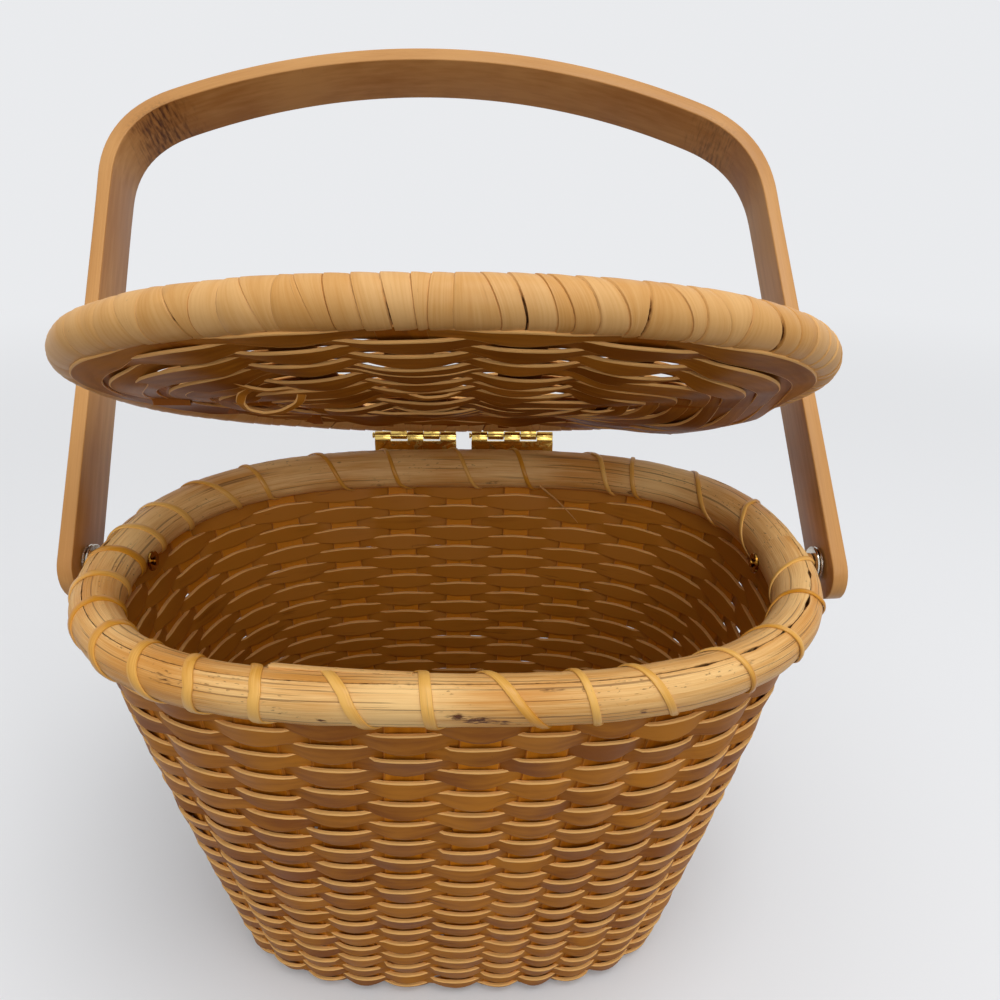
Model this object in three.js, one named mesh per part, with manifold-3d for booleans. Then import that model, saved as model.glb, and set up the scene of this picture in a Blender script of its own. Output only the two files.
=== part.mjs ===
// Oval splint basket with a swing handle and a lid on two butt hinges.
// Millimetres, +Z up, origin on the floor under the middle of the base, front of the basket towards -Y.
import * as THREE from "three";
import { mergeVertices } from "three/addons/utils/BufferGeometryUtils.js";
import Module from "manifold-3d";

const wasm = await Module();
wasm.setup();

// Clearances and finenesses shared by all pieces
const seatGap = 0.3;
const cutOverrun = 1;
const stakeCount = 28;
const ringSteps = stakeCount * 2;
const lidRingSteps = 44;
const roundSteps = 10;
const arcSamples = 7200;

// Basket body
const rimHeight = 170.4;
const rimHalfWidth = 127;
const rimHalfDepth = 87.6;
const rimWidthPower = 2.9;
const rimDepthPower = 2.4;
const baseHalfWidth = 90;
const baseHalfDepth = 55;
const baseWidthPower = 3.2;
const baseDepthPower = 3;
const wallBulge = 1.3;
const wallBands = 2;
const basePanelThickness = 3;

// Stakes, which run down one wall, across the base and up the other wall
const stakeThickness = 1;
const stakeHalfWidthShare = 0.5;
const stakeBaseHalfWidth = 4.2;
const stakeBaseInset = 9;
const stakeTopAboveRimMiddle = 5;
const endStakesEachSide = 2;

// Weaving on both sides of the stakes
const weaveThickness = 1.8;
const weaveRelief = 0.9;
const weaveReliefBands = 14;

// Rim hoops and their cane lashing
const rimRadius = 8;
const hoopArcDegrees = [82, 55, 28, 0, -28, -55, -82];
const lashingThickness = 0.8;
const lashingWidth = 3.6;
const lashingStepsPerTurn = 8;

// Handle, a flat bar bent over the basket, in its own upright frame
const handleThickness = 5.4;
const handleWidth = 22;
const handleInsideClearance = 1.1;
const handleSideClearance = 0.55;
const handleRightCornerIn = 8.7;
const handleRightCornerUp = 200;
const handleLeftCornerOut = 16.9;
const handleLeftCornerUp = 210;
const handleCornerSetback = 36;
const handleCrownRise = 48.3;
const handleFootDrop = 14;
const handleLean = THREE.MathUtils.degToRad(43);
const handleLegSteps = 3;
const handleCornerSteps = 8;
const handleCrownSteps = 10;
const handleFootSteps = 4;

// Pivots at the two ends of the rim
const pivotBelowRimMiddle = 4;
const pivotBoltRadius = 1.5;
const pivotHeadRadius = 4.2;
const pivotHeadHeight = 1.8;
const pivotTail = 1;
const pivotSpacerRadius = 4;
const pivotSpacerLength = 5;
const pivotWasherRadius = 6.5;
const pivotWasherThickness = 1;
const pivotBurrRadius = 4;
const pivotBurrThickness = 1.2;

// Butt hinges between the rim and the lid
const hingeAxisBehindRim = 12;
const hingeAxisAboveRim = 12.8;
const hingeLength = 40.9;
const hingeBetween = 7.6;
const hingeLeafThickness = 1;
const hingeLeafHeight = 17;
const hingeKnuckleRadius = 2.1;
const hingeKnuckleCount = 5;
const hingePinRadius = 0.9;
const hingePinHeadRadius = 1.5;
const hingePinHeadHeight = 0.8;
const nailShankRadius = 0.8;
const nailHeadRadius = 2;
const nailHeadHeight = 0.9;
const nailSideOffset = 12;
const nailRow = 10;

// Lid, drawn closed about the hinge axis and then opened
const lidOpening = THREE.MathUtils.degToRad(27.8);
const lidOverhang = 2;
const lidRimRadius = 7.4;
const lidWidthPower = 2.2;
const lidDepthPower = 2.3;
const lidRimAboveAxis = 7.8;
const lidWrapThickness = 1.5;
const lidCoreRadius = 5.1;
const lidWrapArcDegrees = [-72, -32, 8, 49, 90, 131, 172, 212, 252];
const lidCoreArcDegrees = [0, 45, 90, 135, 180, 225, 270, 315];
const lidStakeCount = 7;
const lidStakeWidth = 14;
const lidStakeSideGap = 26;
const lidStakeShift = 8;
const lidStakeThickness = 0.8;
const lidWeaveThickness = 1.1;
const lidWeaveUnderRim = 2;
const lidWeaveSlack = 0.6;
const lidSagInsets = [14, 30, 50, 84];
const lidSagDepths = [0, 3.3, 4.4, 5];
const insetSearchSteps = 40;

// Values worked out from the sizes above
const stakeHalf = stakeThickness / 2;
const weaveInside = stakeHalf + seatGap;
const weaveOutside = weaveInside + weaveThickness;
const hoopInside = stakeHalf + seatGap;
const lowerLayerBottom = basePanelThickness + seatGap;
const upperLayerBottom = lowerLayerBottom + stakeThickness + seatGap;
const innerWeaveBottom = upperLayerBottom + stakeThickness + seatGap;
const lashingReach = (rimRadius + seatGap) / Math.cos(Math.PI / lashingStepsPerTurn);
const weaveTop = rimHeight - lashingReach - lashingThickness - seatGap;
const pivotHeight = rimHeight - pivotBelowRimMiddle;
const pivotHoleRadius = pivotBoltRadius + seatGap;
const rimOut = rimHalfWidth + rimRadius + seatGap;
const rimIn = rimHalfWidth - rimRadius - seatGap;
const innerWasherSeat = rimOut + pivotSpacerLength + seatGap;
const outerWasherSeat = innerWasherSeat + pivotWasherThickness + seatGap;
const handleInsideFace = outerWasherSeat + pivotWasherThickness + handleInsideClearance;
const handlePivotHalfSpan = handleInsideFace + handleThickness / 2;
const pivotHeadSeat = handleInsideFace + handleThickness + handleSideClearance;
const hingeAxisBack = rimHalfDepth + hingeAxisBehindRim;
const hingeAxisHeight = rimHeight + hingeAxisAboveRim;
const lidHalfWidth = rimHalfWidth + lidOverhang;
const lidStakeSpacing = 2 * (lidHalfWidth - lidStakeSideGap - lidStakeWidth / 2) / (lidStakeCount - 1);
const lidStakeTop = -lidRimRadius - seatGap;
const leafFront = -hingeKnuckleRadius;
const lidHalfDepth = hingeAxisBack + leafFront - seatGap - lidRimRadius;

// Materials
function plainMaterial(colour, roughness, metalness = 0) {
  return new THREE.MeshStandardMaterial({ color: colour, roughness, metalness });
}
const rimMaterial = plainMaterial("#c89a5c", 0.55);
const weaveMaterial = plainMaterial("#a8713a", 0.6);
const stakeMaterial = plainMaterial("#8f5f2f", 0.65);
const caneMaterial = plainMaterial("#d8a651", 0.35);
const handleMaterial = plainMaterial("#d3a06a", 0.45);
const wrapMaterial = plainMaterial("#cf9f66", 0.5);
const brassMaterial = plainMaterial("#c9a44e", 0.3, 1);
const steelMaterial = plainMaterial("#b9b4a8", 0.35, 1);

// Closed meshes from stacked sections, with their faces turned outwards
function closedGeometry(points, faces) {
  let volume = 0;
  for (const [a, b, c] of faces) {
    const cross = new THREE.Vector3().crossVectors(points[b], points[c]);
    volume += points[a].dot(cross);
  }
  const indices = [];
  for (const [a, b, c] of faces) {
    indices.push(...(volume > 0 ? [a, b, c] : [a, c, b]));
  }
  const geometry = new THREE.BufferGeometry();
  const positions = points.flatMap((point) => [point.x, point.y, point.z]);
  geometry.setAttribute("position", new THREE.Float32BufferAttribute(positions, 3));
  geometry.setIndex(indices);
  return geometry;
}

function loft(sections, looped) {
  const count = sections[0].length;
  const points = sections.flat();
  const faces = [];
  const spans = looped ? sections.length : sections.length - 1;
  for (let i = 0; i < spans; i += 1) {
    const here = i * count;
    const next = ((i + 1) % sections.length) * count;
    for (let j = 0; j < count; j += 1) {
      const k = (j + 1) % count;
      faces.push([here + j, next + j, next + k]);
      faces.push([here + j, next + k, here + k]);
    }
  }
  if (!looped) {
    const last = (sections.length - 1) * count;
    for (let j = 1; j < count - 1; j += 1) {
      faces.push([0, j, j + 1]);
      faces.push([last, last + j + 1, last + j]);
    }
  }
  return closedGeometry(points, faces);
}

// Solids for cutting and joining
function toSolid(geometry) {
  const bare = geometry.clone();
  for (const name of Object.keys(bare.attributes)) {
    if (name !== "position") {
      bare.deleteAttribute(name);
    }
  }
  const merged = mergeVertices(bare);
  const mesh = new wasm.Mesh({
    numProp: 3,
    vertProperties: new Float32Array(merged.attributes.position.array),
    triVerts: new Uint32Array(merged.index.array),
  });
  return new wasm.Manifold(mesh);
}

function toGeometry(solid) {
  const mesh = solid.getMesh();
  const geometry = new THREE.BufferGeometry();
  geometry.setAttribute("position", new THREE.Float32BufferAttribute(mesh.vertProperties, 3));
  geometry.setIndex(Array.from(mesh.triVerts));
  return geometry;
}

// A round bar along X between two places
function barAlongX(radius, from, to, up = 0) {
  const bar = new THREE.CylinderGeometry(radius, radius, Math.abs(to - from), roundSteps);
  bar.rotateZ(Math.PI / 2);
  bar.translate((from + to) / 2, 0, up);
  return bar;
}

function boxBetween(low, high) {
  const size = new THREE.Vector3().subVectors(high, low);
  const middle = new THREE.Vector3().addVectors(low, high).multiplyScalar(1 / 2);
  const box = new THREE.BoxGeometry(size.x, size.y, size.z);
  box.translate(middle.x, middle.y, middle.z);
  return box;
}

function turnedAlongX(profile, side) {
  const points = profile.map(([radius, along]) => new THREE.Vector2(radius, along));
  const turned = new THREE.LatheGeometry(points, roundSteps);
  turned.rotateZ(side > 0 ? -Math.PI / 2 : Math.PI / 2);
  return turned;
}

function joined(geometries) {
  return geometries.map(toSolid).reduce((sum, solid) => sum.add(solid));
}

function addMesh(group, name, geometry, material) {
  const mesh = new THREE.Mesh(geometry, material);
  mesh.name = name;
  group.add(mesh);
  return mesh;
}

// Rounded oblong outline that both the basket and the lid follow
function outlinePoint(angle, halfWidth, halfDepth, widthPower, depthPower) {
  const across = Math.cos(angle);
  const along = Math.sin(angle);
  return new THREE.Vector2(
    halfWidth * Math.sign(across) * Math.abs(across) ** (2 / widthPower),
    halfDepth * Math.sign(along) * Math.abs(along) ** (2 / depthPower),
  );
}

// Angles that divide an outline into equal lengths
function evenAngles(count, halfWidth, halfDepth, widthPower, depthPower) {
  const travelled = [0];
  let before = outlinePoint(0, halfWidth, halfDepth, widthPower, depthPower);
  for (let i = 1; i <= arcSamples; i += 1) {
    const angle = (i / arcSamples) * 2 * Math.PI;
    const here = outlinePoint(angle, halfWidth, halfDepth, widthPower, depthPower);
    travelled.push(travelled[i - 1] + here.distanceTo(before));
    before = here;
  }
  const angles = [];
  let sample = 0;
  for (let i = 0; i < count; i += 1) {
    const wanted = (i / count) * travelled[arcSamples];
    while (travelled[sample + 1] < wanted) {
      sample += 1;
    }
    const part = (wanted - travelled[sample]) / (travelled[sample + 1] - travelled[sample]);
    angles.push(((sample + part) / arcSamples) * 2 * Math.PI);
  }
  return angles;
}

const wallAngles = evenAngles(ringSteps, rimHalfWidth, rimHalfDepth, rimWidthPower, rimDepthPower);

function blend(start, end, share) {
  return start + (end - start) * share;
}

function wallOutline(step, height) {
  const depthShare = 1 - height / rimHeight;
  const bulge = wallBulge * 4 * Math.max(0, depthShare * (1 - depthShare));
  return outlinePoint(
    wallAngles[((step % ringSteps) + ringSteps) % ringSteps],
    blend(rimHalfWidth, baseHalfWidth, depthShare) + bulge,
    blend(rimHalfDepth, baseHalfDepth, depthShare) + bulge,
    blend(rimWidthPower, baseWidthPower, depthShare),
    blend(rimDepthPower, baseDepthPower, depthShare),
  );
}

function wallCorner(step, height, offset) {
  const here = wallOutline(step, height);
  const run = wallOutline(step + 1, height).sub(wallOutline(step - 1, height)).normalize();
  return new THREE.Vector3(here.x + run.y * offset, here.y - run.x * offset, height);
}

// A place on the wall: step counts round the ring and may lie between two corners
function wallPoint(step, height, offset) {
  const lower = Math.floor(step);
  const share = step - lower;
  const start = wallCorner(lower, height, offset);
  return share === 0 ? start : start.lerp(wallCorner(lower + 1, height, offset), share);
}

function wallLevels(bottom, top, bands = wallBands) {
  const levels = [];
  for (let i = 0; i <= bands; i += 1) {
    levels.push(blend(bottom, top, i / bands));
  }
  return levels;
}

// Woven wall skins. The outer one swells over every other stake, and over the stakes between one band higher.
function weaveSkin(bottom, near, far, relief, bands) {
  const nearLevels = wallLevels(bottom, weaveTop);
  const farLevels = wallLevels(bottom, weaveTop, bands);
  const sections = [];
  for (let step = 0; step < ringSteps; step += 1) {
    const outer = farLevels.map((height, band) => {
      const swell = step % 2 === 0 ? ((step / 2 + band) % 2) : 1 / 2;
      return wallPoint(step, height, far - relief * swell);
    });
    const inner = nearLevels.map((height) => wallPoint(step, height, near)).reverse();
    sections.push([...outer, ...inner]);
  }
  return loft(sections, true);
}

// Half-round hoop on one face of the wall
function rimHoop(face) {
  const sections = [];
  for (let step = 0; step < ringSteps; step += 1) {
    const section = hoopArcDegrees.map((degrees) => {
      const turn = THREE.MathUtils.degToRad(degrees);
      const reach = Math.max(rimRadius * Math.cos(turn), hoopInside);
      return wallPoint(step, rimHeight + rimRadius * Math.sin(turn), face * reach);
    });
    sections.push(section);
  }
  return loft(sections, true);
}

// Cane wound round both hoops, once for each stake, crossing the wall between stakes
function rimLashing() {
  const turns = stakeCount;
  const stations = turns * lashingStepsPerTurn;
  const cornerRun = wallOutline(0, rimHeight).distanceTo(wallOutline(1, rimHeight));
  const halfStep = lashingWidth / 2 / cornerRun;
  const sections = [];
  for (let i = 0; i < stations; i += 1) {
    const step = 1 + (i / stations) * ringSteps;
    const turn = -(i / lashingStepsPerTurn) * 2 * Math.PI - Math.PI / 2;
    const section = [];
    const near = lashingReach;
    const far = lashingReach + lashingThickness;
    for (const [along, reach] of [[-halfStep, near], [halfStep, near], [halfStep, far], [-halfStep, far]]) {
      section.push(wallPoint(step + along, rimHeight + reach * Math.sin(turn), reach * Math.cos(turn)));
    }
    sections.push(section);
  }
  return loft(sections, true);
}

// One side of a stake, from its bend at the base up to its top between the hoops
function stakeWallSections(step, layerBottom) {
  const edges = [-stakeHalfWidthShare, 0, stakeHalfWidthShare];
  const sections = [];
  const layerTop = layerBottom + stakeThickness;
  const bendOuter = edges.map((along) => wallPoint(step + along, layerBottom, stakeHalf));
  const bendInner = edges.map((along) => wallPoint(step + along, layerTop, -stakeHalf)).reverse();
  sections.push([...bendOuter, ...bendInner]);
  const levels = [...wallLevels(innerWeaveBottom, weaveTop), rimHeight + stakeTopAboveRimMiddle];
  for (const height of levels) {
    const outer = edges.map((along) => wallPoint(step + along, height, stakeHalf));
    const inner = edges.map((along) => wallPoint(step + along, height, -stakeHalf)).reverse();
    sections.push([...outer, ...inner]);
  }
  return sections;
}

function stakeBaseSection(step, layerBottom, lengthwise) {
  const foot = wallPoint(step, layerBottom, 0);
  const inset = (value) => value - Math.sign(value) * stakeBaseInset;
  const place = lengthwise
    ? new THREE.Vector3(inset(foot.x), foot.y, layerBottom)
    : new THREE.Vector3(foot.x, inset(foot.y), layerBottom);
  const ahead = wallPoint(step + stakeHalfWidthShare, layerBottom, 0);
  const behind = wallPoint(step - stakeHalfWidthShare, layerBottom, 0);
  const way = lengthwise ? Math.sign(ahead.y - behind.y) : Math.sign(ahead.x - behind.x);
  const low = [-1, 0, 1].map((share) => {
    const shift = share * way * stakeBaseHalfWidth;
    return lengthwise
      ? new THREE.Vector3(place.x, place.y + shift, layerBottom)
      : new THREE.Vector3(place.x + shift, place.y, layerBottom);
  });
  const high = low.map((point) => point.clone().setZ(layerBottom + stakeThickness)).reverse();
  return [...low, ...high];
}

// A whole stake between two places on the ring. Its second side is listed the other way round,
// so that left and right edges stay on their own sides.
function wholeStake(firstStep, secondStep, layerBottom, lengthwise) {
  const half = (step) => [
    stakeBaseSection(step, layerBottom, lengthwise),
    ...stakeWallSections(step, layerBottom),
  ];
  const swapped = half(secondStep).map(([a, b, c, d, e, f]) => [c, b, a, f, e, d]);
  return loft([...half(firstStep).reverse(), ...swapped], false);
}

// Centre line of the bent handle in its own X and Z, from the right foot over to the left foot
function handleLine() {
  const rightPivot = new THREE.Vector2(handlePivotHalfSpan, 0);
  const leftPivot = new THREE.Vector2(-handlePivotHalfSpan, 0);
  const rightCorner = new THREE.Vector2(handlePivotHalfSpan - handleRightCornerIn, handleRightCornerUp);
  const leftCorner = new THREE.Vector2(-handlePivotHalfSpan - handleLeftCornerOut, handleLeftCornerUp);
  const chord = leftCorner.clone().sub(rightCorner);
  const run = chord.clone().normalize();
  const rise = new THREE.Vector2(run.y, -run.x);
  const radius = (chord.lengthSq() / 4 + handleCrownRise ** 2) / (2 * handleCrownRise);
  const halfTurn = Math.asin(chord.length() / 2 / radius);
  const centre = rightCorner.clone().add(leftCorner).multiplyScalar(1 / 2);
  centre.addScaledVector(rise, handleCrownRise - radius);
  const crownPoint = (turn) => centre.clone()
    .addScaledVector(rise, radius * Math.cos(turn))
    .addScaledVector(run, radius * Math.sin(turn));
  const crownRun = (turn) => run.clone()
    .multiplyScalar(Math.cos(turn))
    .addScaledVector(rise, -Math.sin(turn));
  const setbackTurn = handleCornerSetback / radius;
  const rightEnd = -halfTurn + setbackTurn;
  const leftEnd = halfTurn - setbackTurn;
  const meeting = (start, startRun, other, otherRun) => {
    const cross = startRun.x * otherRun.y - startRun.y * otherRun.x;
    const gap = other.clone().sub(start);
    const along = (gap.x * otherRun.y - gap.y * otherRun.x) / cross;
    return start.clone().addScaledVector(startRun, along);
  };
  const half = (pivot, corner, turn) => {
    const legRun = corner.clone().sub(pivot).normalize();
    const legTop = corner.clone().addScaledVector(legRun, -handleCornerSetback);
    const bend = meeting(legTop, legRun, crownPoint(turn), crownRun(turn));
    const points = [];
    for (let i = 0; i <= handleLegSteps; i += 1) {
      points.push(pivot.clone().lerp(legTop, i / handleLegSteps));
    }
    for (let i = 1; i <= handleCornerSteps; i += 1) {
      const share = i / handleCornerSteps;
      const first = legTop.clone().lerp(bend, share);
      points.push(first.lerp(bend.clone().lerp(crownPoint(turn), share), share));
    }
    return { points, legRun };
  };
  const right = half(rightPivot, rightCorner, rightEnd);
  const left = half(leftPivot, leftCorner, leftEnd);
  const line = [...right.points];
  for (let i = 1; i < handleCrownSteps; i += 1) {
    line.push(crownPoint(blend(rightEnd, leftEnd, i / handleCrownSteps)));
  }
  line.push(...left.points.reverse());
  return { line, rightRun: right.legRun, leftRun: left.legRun };
}

// Each section of the bar is square to its centre line; the feet end in a half round
function handleSolid() {
  const { line, rightRun, leftRun } = handleLine();
  const halfWidth = handleWidth / 2;
  const stations = [];
  const footPoints = (pivot, legRun) => {
    const feet = [];
    for (let i = handleFootSteps; i >= 0; i -= 1) {
      const turn = (i / (handleFootSteps + 1 / 2)) * (Math.PI / 2);
      const drop = handleFootDrop - halfWidth + halfWidth * Math.sin(turn);
      feet.push({ point: pivot.clone().addScaledVector(legRun, -drop), half: halfWidth * Math.cos(turn) });
    }
    return feet;
  };
  stations.push(...footPoints(line[0], rightRun));
  stations.push(...line.map((point) => ({ point, half: halfWidth })));
  stations.push(...footPoints(line[line.length - 1], leftRun).reverse());
  const sections = stations.map(({ point, half }, i) => {
    const before = stations[Math.max(i - 1, 0)].point;
    const after = stations[Math.min(i + 1, stations.length - 1)].point;
    const run = after.clone().sub(before).normalize();
    const out = new THREE.Vector2(run.y, -run.x).multiplyScalar(handleThickness / 2);
    return [[1, -1], [1, 1], [-1, 1], [-1, -1]].map(([side, edge]) => (
      new THREE.Vector3(point.x + out.x * side, edge * half, point.y + out.y * side)
    ));
  });
  const reach = handlePivotHalfSpan + handleThickness;
  const hole = toSolid(barAlongX(pivotHoleRadius, -reach, reach));
  return toGeometry(toSolid(loft(sections, false)).subtract(hole));
}

// Basket body
const part = new THREE.Group();
const pivotBore = barAlongX(pivotHoleRadius, -handlePivotHalfSpan, handlePivotHalfSpan, pivotHeight);
const pivotHole = toSolid(pivotBore);

function plateFrom(outline, thickness) {
  return new THREE.ExtrudeGeometry(new THREE.Shape(outline), { depth: thickness, bevelEnabled: false });
}

function addBody() {
  const outline = [];
  for (let step = 0; step < ringSteps; step += 1) {
    const point = wallPoint(step, 0, weaveOutside);
    outline.push(new THREE.Vector2(point.x, point.y));
  }
  addMesh(part, "base_panel", plateFrom(outline, basePanelThickness), weaveMaterial);
  const outerWeave = weaveSkin(lowerLayerBottom, weaveInside, weaveOutside, weaveRelief, weaveReliefBands);
  const innerWeave = weaveSkin(innerWeaveBottom, -weaveOutside, -weaveInside, 0, wallBands);
  addMesh(part, "outer_weave", outerWeave, weaveMaterial);
  addMesh(part, "inner_weave", innerWeave, weaveMaterial);

  for (let i = -endStakesEachSide; i <= endStakesEachSide; i += 1) {
    const first = i * 2;
    const second = ringSteps / 2 - i * 2;
    const stake = toSolid(wholeStake(first, second, lowerLayerBottom, true));
    const geometry = i === 0 ? toGeometry(stake.subtract(pivotHole)) : toGeometry(stake);
    addMesh(part, `long_stake_${i + endStakesEachSide + 1}`, geometry, stakeMaterial);
  }
  const crossStakes = stakeCount / 2 - 2 * endStakesEachSide - 1;
  for (let i = 0; i < crossStakes; i += 1) {
    const first = (endStakesEachSide + 1 + i) * 2;
    const stake = wholeStake(first, ringSteps - first, upperLayerBottom, false);
    addMesh(part, `cross_stake_${i + 1}`, stake, stakeMaterial);
  }

  const outerHoop = toGeometry(toSolid(rimHoop(1)).subtract(pivotHole));
  const innerHoop = toGeometry(toSolid(rimHoop(-1)).subtract(pivotHole));
  addMesh(part, "outer_rim_hoop", outerHoop, rimMaterial);
  addMesh(part, "inner_rim_hoop", innerHoop, rimMaterial);
  addMesh(part, "rim_lashing", rimLashing(), caneMaterial);
}

// Washers, spacer, bolt and burr at one end of the rim
function ringProfile(outer, start, length) {
  const inner = pivotHoleRadius;
  const end = start + length;
  return [[inner, start], [outer, start], [outer, end], [inner, end], [inner, start]];
}

function addPivot(side, label) {
  const burrStart = rimIn - pivotBurrThickness;
  const tail = burrStart - pivotTail;
  const headEdge = pivotHeadSeat + pivotHeadHeight / 2;
  const boltProfile = [
    [0, tail],
    [pivotBoltRadius, tail],
    [pivotBoltRadius, pivotHeadSeat],
    [pivotHeadRadius, pivotHeadSeat],
    [pivotHeadRadius, headEdge],
    [pivotHeadRadius / 2, pivotHeadSeat + pivotHeadHeight],
    [0, pivotHeadSeat + pivotHeadHeight],
  ];
  const washer = (seat) => ringProfile(pivotWasherRadius, seat, pivotWasherThickness);
  const pieces = [
    ["pivot_bolt", boltProfile, brassMaterial],
    ["pivot_spacer", ringProfile(pivotSpacerRadius, rimOut, pivotSpacerLength), handleMaterial],
    ["pivot_inner_washer", washer(innerWasherSeat), steelMaterial],
    ["pivot_outer_washer", washer(outerWasherSeat), steelMaterial],
    ["pivot_burr", ringProfile(pivotBurrRadius, burrStart, pivotBurrThickness), brassMaterial],
  ];
  for (const [name, profile, material] of pieces) {
    const mesh = addMesh(part, `${label}_${name}`, turnedAlongX(profile, side), material);
    mesh.position.z = pivotHeight;
  }
}

// Hinge leaf about the pin: way is -1 for the leaf that hangs on the rim and 1 for the one on the lid
function hingeLeaf(way) {
  const knuckleLength = hingeLength / hingeKnuckleCount;
  const leafNear = hingeKnuckleRadius + seatGap;
  const leafBack = leafFront + hingeLeafThickness;
  const slab = (from, to, start, end) => boxBetween(
    new THREE.Vector3(from, leafFront, Math.min(way * start, way * end)),
    new THREE.Vector3(to, leafBack, Math.max(way * start, way * end)),
  );
  const pieces = [slab(-hingeLength / 2, hingeLength / 2, leafNear, hingeLeafHeight)];
  const firstKnuckle = way < 0 ? 0 : 1;
  for (let i = firstKnuckle; i < hingeKnuckleCount; i += 2) {
    const from = -hingeLength / 2 + i * knuckleLength + seatGap / 2;
    const to = from + knuckleLength - seatGap;
    pieces.push(barAlongX(hingeKnuckleRadius, from, to));
    pieces.push(slab(from, to, 0, leafNear + hingeLeafThickness / 2));
  }
  let leaf = joined(pieces);
  const boreEnd = hingeLength / 2 + cutOverrun;
  leaf = leaf.subtract(toSolid(barAlongX(hingePinRadius + seatGap, -boreEnd, boreEnd)));
  for (const across of [-nailSideOffset, nailSideOffset]) {
    const nailBore = new THREE.CylinderGeometry(
      nailShankRadius + seatGap,
      nailShankRadius + seatGap,
      hingeLeafThickness + 2 * cutOverrun,
      roundSteps,
    );
    nailBore.translate(across, (leafFront + leafBack) / 2, way * nailRow);
    leaf = leaf.subtract(toSolid(nailBore));
  }
  return toGeometry(leaf);
}

function hingePin() {
  const end = hingeLength / 2;
  const profile = [
    [0, -end - hingePinHeadHeight - seatGap],
    [hingePinHeadRadius, -end - hingePinHeadHeight - seatGap],
    [hingePinHeadRadius, -end - seatGap],
    [hingePinRadius, -end - seatGap],
    [hingePinRadius, end],
    [0, end],
  ];
  return turnedAlongX(profile, 1);
}

function hingeNail() {
  const headSeat = leafFront + hingeLeafThickness + seatGap / 2;
  const profile = [
    [0, leafFront + seatGap / 2],
    [nailShankRadius, leafFront + seatGap / 2],
    [nailShankRadius, headSeat],
    [nailHeadRadius, headSeat],
    [nailHeadRadius, headSeat + nailHeadHeight / 2],
    [nailHeadRadius / 2, headSeat + nailHeadHeight],
    [0, headSeat + nailHeadHeight],
  ];
  const points = profile.map(([radius, along]) => new THREE.Vector2(radius, along));
  return new THREE.LatheGeometry(points, roundSteps);
}

function addHinge(hinges, lid, side, label) {
  const middle = side * (hingeBetween + hingeLength) / 2;
  const place = (mesh) => {
    mesh.position.x = middle;
  };
  place(addMesh(hinges, `${label}_hinge_rim_leaf`, hingeLeaf(-1), brassMaterial));
  place(addMesh(lid, `${label}_hinge_lid_leaf`, hingeLeaf(1), brassMaterial));
  place(addMesh(hinges, `${label}_hinge_pin`, hingePin(), brassMaterial));
  for (const [way, group, word] of [[-1, hinges, "rim"], [1, lid, "lid"]]) {
    for (const [across, end] of [[-nailSideOffset, "a"], [nailSideOffset, "b"]]) {
      const nail = addMesh(group, `${label}_hinge_${word}_nail_${end}`, hingeNail(), brassMaterial);
      nail.position.set(middle + across, 0, way * nailRow);
    }
  }
}

// Lid, closed, with its rim's middle above and in front of the hinge axis
const lidAngles = evenAngles(lidRingSteps, lidHalfWidth, lidHalfDepth, lidWidthPower, lidDepthPower);

function lidOutline(step) {
  const angle = lidAngles[((step % lidRingSteps) + lidRingSteps) % lidRingSteps];
  return outlinePoint(angle, lidHalfWidth, lidHalfDepth, lidWidthPower, lidDepthPower);
}

function lidPoint(step, offset, height) {
  const here = lidOutline(step);
  const run = lidOutline(step + 1).sub(lidOutline(step - 1)).normalize();
  const back = here.y - run.x * offset - hingeAxisBack;
  return new THREE.Vector3(here.x + run.y * offset, back, lidRimAboveAxis + height);
}

function lidRing(places) {
  const sections = [];
  for (let step = 0; step < lidRingSteps; step += 1) {
    sections.push(places.map(([offset, height]) => lidPoint(step, offset, height)));
  }
  return loft(sections, true);
}

function arcPlaces(radius, degreesList) {
  return degreesList.map((degrees) => {
    const turn = THREE.MathUtils.degToRad(degrees);
    return [radius * Math.cos(turn), radius * Math.sin(turn)];
  });
}

// Rows of the lid's weaving are smaller oblongs round the same middle, and the panel sags towards its middle
function rowDepth(across, inset) {
  const share = 1 - (Math.abs(across) / (lidHalfWidth - inset)) ** lidWidthPower;
  return (lidHalfDepth - inset) * Math.max(share, 0) ** (1 / lidDepthPower);
}

function sagAtInset(inset) {
  const last = lidSagInsets.length - 1;
  if (inset <= lidSagInsets[0]) {
    return lidSagDepths[0];
  }
  if (inset >= lidSagInsets[last]) {
    return lidSagDepths[last];
  }
  const i = lidSagInsets.findIndex((mark) => mark > inset) - 1;
  const share = (inset - lidSagInsets[i]) / (lidSagInsets[i + 1] - lidSagInsets[i]);
  return blend(lidSagDepths[i], lidSagDepths[i + 1], share);
}

function sagAt(across, along) {
  let low = 0;
  let high = lidSagInsets[lidSagInsets.length - 1];
  for (let i = 0; i < insetSearchSteps; i += 1) {
    const middle = (low + high) / 2;
    const inside = Math.abs(across) < lidHalfWidth - middle && Math.abs(along) < rowDepth(across, middle);
    if (inside) {
      low = middle;
    } else {
      high = middle;
    }
  }
  return sagAtInset(low);
}

function lidPanel(offset, bottom) {
  const rows = [null, ...lidSagInsets];
  const ring = (inset, level) => {
    const points = [];
    for (let step = 0; step < lidRingSteps; step += 1) {
      const edge = lidPoint(step, offset, level);
      if (inset !== null) {
        const narrow = [lidHalfWidth - inset, lidHalfDepth - inset];
        const row = outlinePoint(lidAngles[step], ...narrow, lidWidthPower, lidDepthPower);
        edge.set(row.x, row.y - hingeAxisBack, edge.z - sagAtInset(inset));
      }
      points.push(edge);
    }
    return points;
  };
  const under = rows.map((inset) => ring(inset, bottom)).reverse();
  const over = rows.map((inset) => ring(inset, bottom + lidWeaveThickness));
  return loft([...under, ...over], false);
}

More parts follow.
